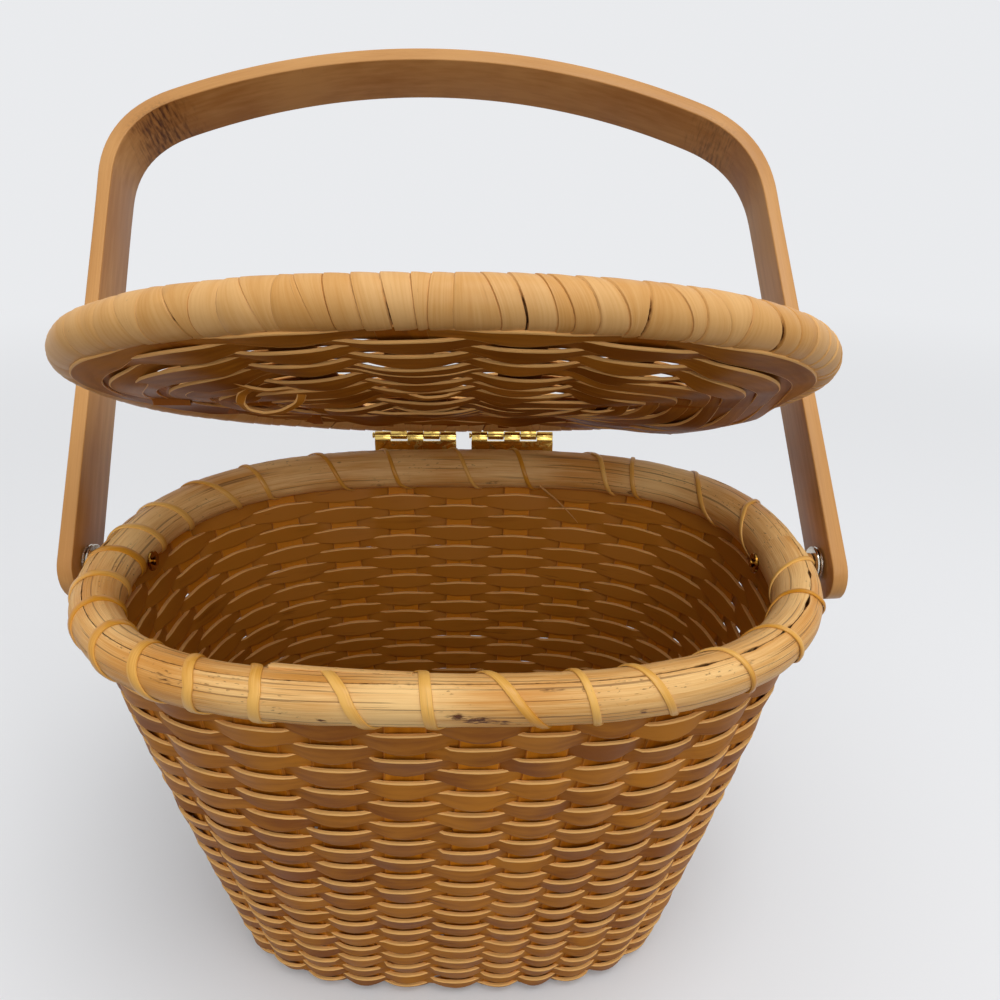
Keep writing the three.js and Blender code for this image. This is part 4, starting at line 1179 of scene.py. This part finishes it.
class BASKET_OT_handle(bpy.types.Operator):
    """Bends the flat bar of the handle over the basket"""
    bl_idname = "basket.handle"
    bl_label = "Handle"

    def execute(self, context):
        sizes = context.scene.basket_handle
        pivot_height = context.scene.basket_pivot.height
        middle, halves = handle_path(sizes)
        ahead = unit(np.gradient(middle, axis=0))
        out = np.stack([ahead[:, 1], -ahead[:, 0]], -1)
        corner = sizes.edge_radius
        section = self.section(sizes.thickness / 2, corner)
        last = len(middle) - 1

        def place(u, v):
            station = station_at(u, last)
            rows = section_at(section, v)
            half_here = halves[station]
            round_here = np.minimum(corner, half_here * 0.5)
            deep = rows[:, 2] * (half_here - round_here) + rows[:, 3] * round_here
            grown = 1 + sizes.crown_growth * np.clip(middle[station, 1] / GROWTH_HEIGHT - GROWTH_START, 0, 1)
            side = rows[:, 0] * grown + rows[:, 1]
            flat = middle[station] + out[station] * side[:, None]
            upright = np.stack([flat[:, 0], deep, flat[:, 1]], -1)
            return leaned(upright, sizes.lean, (0, pivot_height))

        def on_edge(u, v):
            return np.abs(section_at(section, v)[:, 3])

        def crackle(u, v):
            """Fine crackle on the inner face where the bar was bent."""
            spots = middle[station_at(u, last)] / MM
            spread = np.zeros(len(u))
            for x, height, strength in BEND_CRACKLE:
                away = np.hypot(spots[:, 0] - x, spots[:, 1] - height)
                spread = np.maximum(spread, strength * np.exp(-(away / CRACKLE_REACH) ** 2))
            return spread * (section_at(section, v)[:, 0] < 0)

        piece = laid_band("handle", last, len(section), place, run=distance_run(middle)[-1], girth=0.055,
                          edge=on_edge, shade_and_hollow=crackle, smooth_degrees=50,
                          tone=lambda u, v: smooth_noise(SEEDS["handle tone"], u, 12) * 0.6)
        dress(piece, "handle", "handle", "Bent Handle", "handle_bar")
        return {"FINISHED"}

    def section(self, half_thick, corner):
        """Through the bar, rounding, across it as a share and rounding, for each place round it."""
        rows = []
        for side, edge, start in ((1, 1, 0), (-1, 1, 90), (-1, -1, 180), (1, -1, 270)):
            for step in range(4):
                angle = math.radians(start + step * 30)
                rows.append((side * (half_thick - corner), corner * math.cos(angle), edge, math.sin(angle)))
        return np.array(rows)


# Turned pieces of the pivots: their bevels, the rim and the dome of a bolt's head, and the sides of each turn
TURNED_BEVEL = 0.25 * MM
HEAD_RIM = 0.4 * MM
HEAD_UNDERCUT = 0.1 * MM
HEAD_DEGREES = 15
TURNED_SIDES = 32


class BASKET_OT_pivots(bpy.types.Operator):
    """Turns the bolts, spacers, washers and burrs of the two pivots"""
    bl_idname = "basket.pivots"
    bl_label = "Pivots"

    def execute(self, context):
        sizes = context.scene.basket_pivot
        bore, washer = sizes.bore_radius, (sizes.washer_radius, sizes.washer_thickness)
        rings = (
            ("spacer", sizes.spacer_seat, sizes.spacer_radius, sizes.spacer_length, "handle", "Bent Handle"),
            ("inner_washer", sizes.inner_washer_seat, *washer, "steel", "Steel"),
            ("outer_washer", sizes.outer_washer_seat, *washer, "steel", "Steel"),
            ("burr", sizes.burr_seat, sizes.burr_radius, sizes.burr_thickness, "brass", "Aged Brass"),
        )
        head = sizes.head_seat
        bolt = [(0, sizes.tail), (sizes.bolt_radius, sizes.tail), (sizes.bolt_radius, head),
                (sizes.head_radius - HEAD_UNDERCUT, head)]
        for degrees in range(0, 91, HEAD_DEGREES):
            angle = math.radians(degrees)
            bolt.append((sizes.head_radius * math.cos(angle),
                         head + HEAD_RIM + (sizes.head_height - HEAD_RIM) * math.sin(angle)))
        for label, side in (("right", 1), ("left", -1)):
            for name, seat, radius, depth, slot, material in rings:
                bevel = min(TURNED_BEVEL, depth / 4)
                end = seat + depth
                profile = [(bore, seat), (radius - bevel, seat), (radius, seat + bevel),
                           (radius, end - bevel), (radius - bevel, end), (bore, end)]
                piece = self.turned(f"{label}_{name}", profile, side, sizes.height)
                dress(piece, "basket", slot, material, f"{label}_pivot_{name}")
            piece = self.turned(f"{label}_bolt", bolt, side, sizes.height)
            dress(piece, "basket", "brass", "Aged Brass", f"{label}_pivot_bolt")
        return {"FINISHED"}

    def turned(self, name, profile, side, height):
        """A piece turned about the pivots' axis. Its profile closes on itself, or runs from axis to axis."""
        radii, along = np.array(profile).T
        steps = len(profile) - 1 if radii[0] == 0 else len(profile)

        def place(u, v):
            spot = station_at(u, steps) % len(profile)
            angle = v * TURN
            return np.stack([side * along[spot], radii[spot] * np.cos(angle),
                             height + radii[spot] * np.sin(angle)], -1)

        return laid_band(name, steps, TURNED_SIDES, place, run=0.02, girth=0.03, smooth_degrees=35)


class LidShape:
    """The open lid: places are given in the closed lid's own frame and swung open."""
    samples = 20001
    ring_samples = 4001
    sag_insets = np.array([-2, 4, 10, 21, 32, 55, 77, 90]) * MM
    front_sag = np.array([-6.3, -6.9, -7.4, -8.2, -8.6, -9.3, -10.1, -10.6]) * MM
    back_sag = np.array([0.5, 0, -0.6, -1.8, -3.2, -6, -9.4, -10.6]) * MM
    swing_insets = np.array([0, 6, 13, 30]) * MM
    swings = np.array([0.6, 1.3, 2.2, 3]) * MM

    def __init__(self, sizes):
        self.sizes = sizes
        self.angles = np.linspace(0, TURN, self.samples)
        run = distance_run(self.line(self.angles, 0))
        self.shares, self.girth = run / run[-1], run[-1]

    def line(self, angle, inset):
        sizes = self.sizes
        return oblong(angle, sizes.half_width - inset, sizes.half_depth - inset,
                      sizes.width_power, sizes.depth_power)

    def edge(self, part):
        return self.line(np.interp(np.mod(part, 1), self.shares, self.angles), 0)

    def frame(self, part):
        """Place and outward way for a share of the way round the lid's rim."""
        run = unit(self.edge(part + 0.002) - self.edge(part - 0.002))
        return self.edge(part), np.stack([run[..., 1], -run[..., 0]], -1)

    def swung(self, flat, height):
        """Swings places open that are given by the closed lid's X and Y and the height over its rim."""
        sizes = self.sizes
        local = np.stack([flat[..., 0], flat[..., 1] - sizes.hinge_back, sizes.rim_above_axis + height], -1)
        return leaned(local, sizes.opening, (sizes.hinge_back, sizes.hinge_height))

    def sag(self, inset, flat):
        """Height of the weaving's middle above the rim's: it hangs in front and is drawn up at the back."""
        x, y = flat[..., 0], flat[..., 1]
        front = np.interp(inset, self.sag_insets, self.front_sag)
        back = np.interp(inset, self.sag_insets, self.back_sag)
        drawn = ramp(y, 0, 46 * MM) * ramp(x, 85 * MM, 35 * MM) * ramp(inset, 2 * MM, 12 * MM, 0.15)
        loose = ramp(x, 50 * MM, 95 * MM) * ramp(y, -12 * MM, 18 * MM)
        loose = loose * ramp(inset, 0, 9 * MM, 0.1) * ramp(inset, 70 * MM, 30 * MM)
        return blended(front, back, drawn) - loose * self.sizes.right_hang

    def bow(self, wave, inset, flat):
        """How far a weaver stands from its middle where it passes over or under a stake."""
        reach = np.interp(inset, self.swing_insets, self.swings) * (1 - 0.55 * ramp(flat[..., 1], 0, 40 * MM))
        return np.where(wave < 0, 1, self.sizes.upper_swing) * wave * reach

    def stake_x(self):
        sizes = self.sizes
        middle = (sizes.stake_count - 1) / 2
        return (np.arange(sizes.stake_count) - middle) * sizes.stake_spacing - sizes.stake_shift


# Bands of the lid's wrapping: places across a band, in shares of its width, with how far it drops there
BAND_PROFILE = ((0.0, 1.0), (0.045, 0.0), (0.3, 0.02), (0.62, 0.25), (0.93, 0.6), (0.985, 0.9))
BAND_EDGES = (BAND_PROFILE[0][0], BAND_PROFILE[-1][0])

# A gap between two bands is deeper than a band's step over the next, and the bands lean and swell
BAND_GAP_DEPTH = 2.4
BAND_LEAN = 0.25
BAND_SWELL = 0.12 * MM


class BASKET_OT_lid_rim(bpy.types.Operator):
    """Winds overlapping bands of splint round the lid's rim"""
    bl_idname = "basket.lid_rim"
    bl_label = "Lid Rim"

    def execute(self, context):
        sizes = context.scene.basket_lid
        lid = LidShape(sizes)
        table, bands = self.bands(sizes)
        count = len(table)

        def opening(angle):
            """A gap between two bands opens under the front of the rim and is closed on top."""
            return np.clip(0.5 - 0.9 * np.sin(angle + BAND_LEAN), 0, 1)

        def place(u, v):
            spot = station_at(u, count)
            start, drop, slant, _, gap, _ = table[spot % count].T
            part = start + spot // count
            angle = (v + 0.5) * TURN
            here, out = lid.frame(part - slant / bands * np.sin(angle - BAND_LEAN))
            radius = sizes.rim_radius - (drop + BAND_GAP_DEPTH * gap * opening(angle)) * sizes.wrap_step
            radius += BAND_SWELL * smooth_noise(SEEDS["lid rim swell"], part, 24)
            return lid.swung(here + out * (radius * np.cos(angle))[:, None], radius * np.sin(angle))

        # Painted shade: a band is darkened at its edges, where it steps over the next, and a gap between two
        # bands is darkened where it opens under the front of the rim.
        def dark(u, v):
            row = table[station_at(u, count) % count]
            return np.maximum(row[:, 5], row[:, 4] * np.clip(1.6 * opening((v + 0.5) * TURN), 0, 1))

        piece = laid_band("lid_wrapping", count, 28, place, run=lid.girth, girth=0.046, shade_and_hollow=dark,
                          tone=lambda u, v: table[station_at(u, count) % count][:, 3], smooth_degrees=28)
        self.turn_map(piece)
        dress(piece, "lid", "wrap", "Lid Wrapping", "lid_rim_wrap")
        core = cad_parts["lid_rim_core"]
        core.data.materials.clear()
        core.data.materials.append(bpy.data.materials["Rim Hoop"])
        return {"FINISHED"}

    def bands(self, sizes):
        """Share of the way round, drop, slant, tone, gap and painted shade at the band's edges for each place
        across each band.
        """
        rolls = np.random.RandomState(SEEDS["lid bands"])
        known = [start for start, _ in WRAP_STARTS]
        rest = sizes.wrap_bands - len(known)
        widths = np.cumsum(rolls.uniform(0.8, 1.2, rest + 1))
        starts = np.concatenate([known, known[-1] + widths / widths[-1] * (known[0] + 1 - known[-1])])
        bands = len(starts) - 1
        further_gaps = np.where(rolls.uniform(0, 1, rest) < 0.06, 0.8, 0)
        gaps = np.concatenate([[gap for _, gap in WRAP_STARTS], further_gaps])
        gaps = np.append(gaps, gaps[0])
        depths = rolls.uniform(0.35, 1, bands)
        slants = rolls.uniform(-0.15, 0.6, bands + 1)
        slants[-1] = slants[0]
        rows = []
        for band in range(bands):
            own_tone = rolls.uniform(-0.5, 0.5)
            for part, drop in BAND_PROFILE:
                at_edge = part in BAND_EDGES
                gap = gaps[band + (part > 0)] if at_edge else 0
                rows.append((blended(starts[band], starts[band + 1], part), drop * depths[band],
                             blended(slants[band], slants[band + 1], part), own_tone, gap,
                             0.35 * depths[band] * at_edge))
        return np.array(rows), bands

    def turn_map(self, piece):
        """The bands run round the rim, so the map's first axis is turned to run round it too."""
        layer = piece.data.uv_layers.active.data
        corners = np.empty(len(layer) * 2)
        layer.foreach_get("uv", corners)
        layer.foreach_set("uv", corners.reshape(-1, 2)[:, ::-1].ravel())


# Rings of the lid's weaving: from the outermost, the rows stand one pitch apart up to the middle
FIRST_RING_INSET = 4.6 * MM
LAST_RING_REACH = 2.5 * MM

# A ring widens over a stake, wanders and leans a little, and misses stakes nearer to its ends than its margin
RING_HALF_SHARE = 0.5
RING_FULLNESS = 0.7
RING_WANDER = 0.3 * MM
RING_TILT = 0.25 * MM
RING_SEGMENT = 2.6 * MM
RING_LEAST_SEGMENTS = 80
RING_END_MARGIN = 6 * MM
LID_CORNER = 0.22 * MM
LID_FLATNESS = 0.05

# Insets between which a lid stake's height is looked up, from the edge and from the middle
LID_STAKE_INSETS = (-4 * MM, 1 * MM)
LID_STAKE_CORNER = 0.2 * MM

# How far the middle splint laps over the innermost ring, at its sides and its ends
CENTRE_LAP = 1.2 * MM
CENTRE_END_LAP = 3 * MM

# Section of a loose strand
STRAND_HALF_WIDTH = 1.5 * MM
STRAND_HALF_THICKNESS = 0.45 * MM
STRAND_CORNER = 0.15 * MM


class BASKET_OT_lid_weaving(bpy.types.Operator):
    """Weaves the lid's panel: flat stakes from front to back and rows that turn round the ends"""
    bl_idname = "basket.lid_weaving"
    bl_label = "Lid Weaving"

    def execute(self, context):
        sizes = context.scene.basket_lid
        lid = LidShape(sizes)
        insets = np.arange(FIRST_RING_INSET, sizes.half_depth - LAST_RING_REACH, sizes.ring_pitch)
        for row, inset in enumerate(insets):
            self.weave(lid, row, inset)
        self.centre(lid, insets[-1] + sizes.ring_pitch * 0.5, len(insets))
        for number, x in enumerate(lid.stake_x()):
            self.stake(lid, number, x)
        for number, line in enumerate(LOOSE_STRANDS):
            self.strand(lid, number, np.array(line) * MM)
        return {"FINISHED"}

    def centre(self, lid, inset, row):
        """The straight splint in the middle, which fills what the innermost ring leaves open."""
        half = lid.sizes.half_depth - inset + CENTRE_LAP
        reach = lid.sizes.half_width - inset + CENTRE_END_LAP
        section = flat_section(half, lid.sizes.weaver_thickness / 2, LID_CORNER)
        spots = lid.stake_x()

        def place(u, v):
            x = blended(-reach, reach, u)
            rows = section_at(section, v)
            wave = float_shape(np.interp(x, spots, np.arange(len(spots))) + row, LID_FLATNESS)
            flat = np.stack([x, rows[:, 0]], -1)
            return lid.swung(flat, lid.sag(inset, flat) + lid.bow(wave, inset, flat) + rows[:, 1])

        # The tone of -0.3 paints the splint darker, as painted shade under the open lid.
        piece = laid_band("lid_centre_splint", 60, len(section), place, run=2 * reach, girth=14 * MM,
                          edge=cut_edges(section), tone=lambda u, v: -0.3 + 0 * u)
        dress(piece, "lid", "weave", "Lid Splint", "lid_top_weave", "lid_under_weave")

    def strand(self, lid, number, line):
        """A narrow loose strand along a line of places in the closed lid's frame."""
        count = (len(line) - 1) * 8
        marks = np.linspace(0, len(line) - 1, count + 1)
        soft = np.stack([np.interp(marks, np.arange(len(line)), line[:, axis]) for axis in range(3)], -1)
        for _ in range(6):
            soft[1:-1] = (soft[:-2] + 2 * soft[1:-1] + soft[2:]) / 4
        middle = lid.swung(soft[:, :2], soft[:, 2])
        ahead = unit(np.gradient(middle, axis=0))
        flat_way = unit(np.cross(ahead, (0, 0.5, 0.86)))
        over = np.cross(flat_way, ahead)
        section = flat_section(STRAND_HALF_WIDTH, STRAND_HALF_THICKNESS, STRAND_CORNER)

        def place(u, v):
            station = station_at(u, count)
            rows = section_at(section, v)
            return middle[station] + flat_way[station] * rows[:, :1] + over[station] * rows[:, 1:2]

        piece = laid_band(f"lid_loose_{number + 1}", count, len(section), place, run=0.05, girth=5 * MM,
                          edge=cut_edges(section), tone=lambda u, v: 1.2 + 0 * u)
        dress(piece, "lid", "weave", "Lid Splint", "lid_under_weave")

    def weave(self, lid, row, inset):
        """A ring of the lid's weaving, which passes over and under the stakes that it meets."""
        sizes = lid.sizes
        half_width = sizes.half_width - inset
        marks = []
        for x in lid.stake_x():
            if abs(x) < half_width - RING_END_MARGIN:
                angle = math.acos(math.copysign(abs(x / half_width) ** (sizes.width_power / 2), x))
                marks += [angle, TURN - angle]
        marks = np.array(sorted(marks))
        ends = np.concatenate([[marks[-1] - TURN], marks, [marks[0] + TURN]])
        counts = np.arange(-1, len(marks) + 1)
        angles = np.linspace(0, TURN, lid.ring_samples)
        run = distance_run(lid.line(angles, inset))
        rolls = np.random.RandomState(SEEDS["lid weaver"] + row)
        half = sizes.ring_pitch * RING_HALF_SHARE * rolls.uniform(1.08, 1.16)
        section = flat_section(half, sizes.weaver_thickness / 2, LID_CORNER)
        own_tone = rolls.uniform(-1, 1)

        def place(u, v):
            angle = np.interp(u, run / run[-1], angles)
            rows = section_at(section, v)
            wander = smooth_noise(SEEDS["lid wander"] + row, u, 8) * RING_WANDER
            wave = float_shape(np.interp(angle, ends, counts) + row, LID_FLATNESS)
            depth = inset + wander - rows[:, 0] * (1 + RING_FULLNESS * wave * wave)
            flat = lid.line(angle, depth)
            tilt = smooth_noise(SEEDS["lid tilt"] + row, u, 10) * RING_TILT
            height = lid.sag(depth, flat) + lid.bow(wave, inset, flat) + rows[:, 1] + tilt * rows[:, 0] / half
            return lid.swung(flat, height)

        def tone(u, v):
            wandering = own_tone * 0.5 + smooth_noise(SEEDS["lid tone"] + row, u, 12) * 0.6
            # The 0.45 taken off paints the rings darker, as painted shade under the open lid.
            return np.clip(wandering - 0.45, -1.5, 1.5)

        segments = max(RING_LEAST_SEGMENTS, int(run[-1] / RING_SEGMENT))
        piece = laid_band(f"lid_weaver_{row + 1:02d}", segments, len(section), place, run=run[-1],
                          girth=14 * MM, edge=cut_edges(section), tone=tone)
        dress(piece, "lid", "weave", "Lid Splint", "lid_top_weave", "lid_under_weave")

    def stake(self, lid, number, x):
        """A flat stake from the front of the lid's rim to its back."""
        sizes = lid.sizes
        insets = np.linspace(LID_STAKE_INSETS[0], sizes.half_depth - LID_STAKE_INSETS[1], 400)
        shares = np.clip(1 - np.abs(x / (sizes.half_width - insets)) ** sizes.width_power, 0, 1)
        lines = (sizes.half_depth - insets) * shares ** (1 / sizes.depth_power)
        outer_edge = abs(x) + sizes.stake_width / 2
        reach = sizes.half_depth * max(1 - (outer_edge / sizes.half_width) ** sizes.width_power,
                                       0.02) ** (1 / sizes.depth_power)
        section = flat_section(sizes.stake_width / 2, sizes.stake_thickness / 2, LID_STAKE_CORNER)
        # The lid's stakes take a darker range of tone, as painted shade under the open lid.
        own_tone = np.random.RandomState(SEEDS["lid stake tone"] + number).uniform(-1.5, -0.5)

        def place(u, v):
            y = blended(-reach, reach, u)
            rows = section_at(section, v)
            inset = np.interp(-np.abs(y), -lines, insets)
            flat = np.stack([x + rows[:, 0], y], -1)
            return lid.swung(flat, lid.sag(inset, flat) + rows[:, 1])

        piece = laid_band(f"lid_splint_{number + 1}", 60, len(section), place, run=2 * reach, girth=30 * MM,
                          edge=cut_edges(section), tone=lambda u, v: own_tone + 0 * u)
        dress(piece, "lid", "stake", "Stake Splint", f"lid_stake_{number + 1}")


# Hinges: distance within which a node's loose triangles are joined, and the angles that are bevelled or kept
LEAF_MERGE_DISTANCE = 0.01 * MM
BEVELLED_ANGLE = math.radians(40)
SMOOTHED_ANGLE = math.radians(42)


class BASKET_OT_hinges(bpy.types.Operator):
    """Rounds the edges of the hinge leaves, pins and nails"""
    bl_idname = "basket.hinges"
    bl_label = "Hinges"

    def execute(self, context):
        edge = context.scene.basket_hinge.edge
        parts = ("rim_leaf", "lid_leaf", "pin", "rim_nail_a", "rim_nail_b", "lid_nail_a", "lid_nail_b")
        for side in ("left", "right"):
            for part in parts:
                body = "lid" if part.startswith("lid") else "basket"
                self.rounded(f"{side}_hinge_{part}", body, edge if "leaf" in part else edge * 0.5)
        return {"FINISHED"}

    def rounded(self, node, body, edge):
        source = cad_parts[node]
        piece = bpy.data.objects.new(f"{node}_brass", source.data.copy())
        bpy.context.scene.collection.objects.link(piece)
        close_mesh(piece, LEAF_MERGE_DISTANCE)
        rounding = piece.modifiers.new("Rounding", "BEVEL")
        rounding.width = edge
        rounding.segments = 2
        rounding.limit_method = "ANGLE"
        rounding.angle_limit = BEVELLED_ANGLE
        bpy.ops.object.modifier_apply(modifier=rounding.name)
        bpy.ops.object.shade_smooth_by_angle(angle=SMOOTHED_ANGLE)
        dress(piece, body, "brass", "Brass", node)


# Lamps: name, place, aim, size in metres, power in watts
LAMPS = (
    ("Front Lamp", (0.35, -1.5, 1.35), (0, 0.05, 0.1), 0.9, 4),
    ("Low Lamp", (0.3, -1.6, 0.72), (0, 0.08, 0.16), 0.7, 3.6),
    ("Top Lamp", (0.4, -0.45, 2.0), (0, 0, 0.15), 0.9, 10),
)

# The floor's side, and the distances between which it passes into the tone of the backdrop, in metres
FLOOR_SIZE = 12
FLOOR_FADE = (0.45, 1.7)

# The dome that lights the basket: the way to its brightest place, its strength there and all round
DOME_TOP = (0.14, -0.22, 0.965)
DOME_STRENGTH = 1.25
DOME_LEAST = 0.1

# Camera: its place, its turns to the side, down and round in radians, its focal length and frame in pixels
CAMERA_PLACE = (17.25 * MM, -261.8 * MM, 313.3 * MM)
CAMERA_TURNS = (0.003, 0.43, 0.005)
FOCAL_PIXELS = 760.5
FRAME_PIXELS = 1000
SENSOR_WIDTH = 36


class BASKET_OT_stage(bpy.types.Operator):
    """Sets the floor, the lamps, the backdrop and the camera"""
    bl_idname = "basket.stage"
    bl_label = "Stage"

    def execute(self, context):
        scene = context.scene
        scene.view_settings.view_transform = "Standard"
        shades = scene.basket_colours
        self.floor(tuple(shades.floor), tuple(shades.floor_bounce))
        self.backdrop(scene, tuple(shades.floor))
        for name, place, aim, size, power in LAMPS:
            lamp = bpy.data.lights.new(name, "AREA")
            lamp.size = size
            lamp.energy = power
            holder = bpy.data.objects.new(name, lamp)
            scene.collection.objects.link(holder)
            holder.location = place
            holder.rotation_euler = (Vector(aim) - Vector(place)).to_track_quat("-Z", "Y").to_euler()
        self.camera(scene)
        return {"FINISHED"}

    def seen(self, tree):
        """Is 1 for what the camera sees, also in metal, and 0 for light that passes between surfaces."""
        path = add_node(tree, "ShaderNodeLightPath")
        shown = calculate(tree, "MAXIMUM", path.outputs["Is Camera Ray"], path.outputs["Is Glossy Ray"])
        return calculate(tree, "MAXIMUM", shown, path.outputs["Is Transmission Ray"])

    def floor(self, shade, bounce):
        """A pale floor that keeps the shadow near the basket and further off has the tone of the backdrop."""
        clear_selection()
        bpy.ops.mesh.primitive_grid_add(x_subdivisions=8, y_subdivisions=8, size=FLOOR_SIZE)
        floor = bpy.context.object
        floor.name = "floor"
        material, tree, shader = new_material("Pale Floor")
        seen = self.seen(tree)
        place = add_node(tree, "ShaderNodeTexCoord")
        distance = add_node(tree, "ShaderNodeVectorMath", operation="LENGTH")
        tree.links.new(place.outputs["Object"], distance.inputs[0])
        far = remapped(tree, distance.outputs["Value"], *FLOOR_FADE)
        black = (0.0, 0.0, 0.0)
        near_tone = mixed(tree, far, shade, black)
        tree.links.new(mixed(tree, seen, bounce, near_tone), shader.inputs["Base Color"])
        glow = mixed(tree, calculate(tree, "MULTIPLY", seen, far), black, shade)
        tree.links.new(glow, shader.inputs["Emission Color"])
        shader.inputs["Emission Strength"].default_value = 1
        shader.inputs["Roughness"].default_value = 1
        shader.inputs["Specular IOR Level"].default_value = 0
        floor.data.materials.append(material)

    def backdrop(self, scene, shade):
        """A soft dome, brightest overhead and a little to the front, seen as one pale tone."""
        world = bpy.data.worlds.new("Studio")
        scene.world = world
        world.use_nodes = True
        tree = world.node_tree
        tree.nodes.clear()
        direction = add_node(tree, "ShaderNodeTexCoord")
        facing = add_node(tree, "ShaderNodeVectorMath", operation="DOT_PRODUCT")
        tree.links.new(direction.outputs["Generated"], facing.inputs[0])
        facing.inputs[1].default_value = DOME_TOP
        dome = calculate(tree, "MAXIMUM", facing.outputs["Value"], 0)
        dome = calculate(tree, "MULTIPLY_ADD", dome, DOME_STRENGTH, DOME_LEAST)
        light = add_node(tree, "ShaderNodeBackground")
        tree.links.new(dome, light.inputs["Strength"])
        seen = add_node(tree, "ShaderNodeBackground")
        seen.inputs["Color"].default_value = shade + (1,)
        both = add_node(tree, "ShaderNodeMixShader")
        output = add_node(tree, "ShaderNodeOutputWorld")
        link_all(tree, (self.seen(tree), both.inputs[0]), (light.outputs[0], both.inputs[1]),
                 (seen.outputs[0], both.inputs[2]), (both.outputs[0], output.inputs[0]))

    def camera(self, scene):
        yaw, pitch, roll = CAMERA_TURNS
        ahead = Vector((math.sin(yaw) * math.cos(pitch), math.cos(yaw) * math.cos(pitch), -math.sin(pitch)))
        right = Vector((math.cos(yaw), -math.sin(yaw), 0))
        up = right.cross(ahead)
        across = math.cos(roll) * right + math.sin(roll) * up
        upright = -math.sin(roll) * right + math.cos(roll) * up
        lens = bpy.data.cameras.new("Camera")
        lens.sensor_width = SENSOR_WIDTH
        lens.lens = FOCAL_PIXELS / FRAME_PIXELS * SENSOR_WIDTH
        lens.clip_start = 10 * MM
        camera = bpy.data.objects.new("Camera", lens)
        scene.collection.objects.link(camera)
        turned = Matrix((across, upright, -ahead)).transposed().to_4x4()
        camera.matrix_world = Matrix.Translation(CAMERA_PLACE) @ turned
        scene.camera = camera


BUILD_STEPS = (
    BASKET_OT_stage,
    BASKET_OT_materials,
    BASKET_OT_stakes,
    BASKET_OT_base,
    BASKET_OT_wall_weaving,
    BASKET_OT_rim,
    BASKET_OT_lashing,
    BASKET_OT_pivots,
    BASKET_OT_handle,
    BASKET_OT_hinges,
    BASKET_OT_lid_rim,
    BASKET_OT_lid_weaving,
)


class BASKET_PT_panel(bpy.types.Panel):
    """Lists the settings and the pieces of the basket"""
    bl_idname = "BASKET_PT_panel"
    bl_label = "Lidded Basket"
    bl_space_type = "VIEW_3D"
    bl_region_type = "UI"
    bl_category = "Basket"

    def draw(self, context):
        for step in BUILD_STEPS:
            self.layout.operator(step.bl_idname)
        for setting, group in SETTINGS.items():
            box = self.layout.box()
            for label in group.__annotations__:
                box.prop(getattr(context.scene, setting), label)


CLASSES = tuple(SETTINGS.values()) + BUILD_STEPS + (BASKET_PT_panel,)


def register():
    for item in CLASSES:
        bpy.utils.register_class(item)
    for setting, group in SETTINGS.items():
        setattr(bpy.types.Scene, setting, PointerProperty(type=group))


def unregister():
    for setting in SETTINGS:
        delattr(bpy.types.Scene, setting)
    for item in reversed(CLASSES):
        bpy.utils.unregister_class(item)


def main():
    register()
    for step in BUILD_STEPS:
        group, name = step.bl_idname.split(".")
        getattr(getattr(bpy.ops, group), name)()


if __name__ == "__main__":
    main()
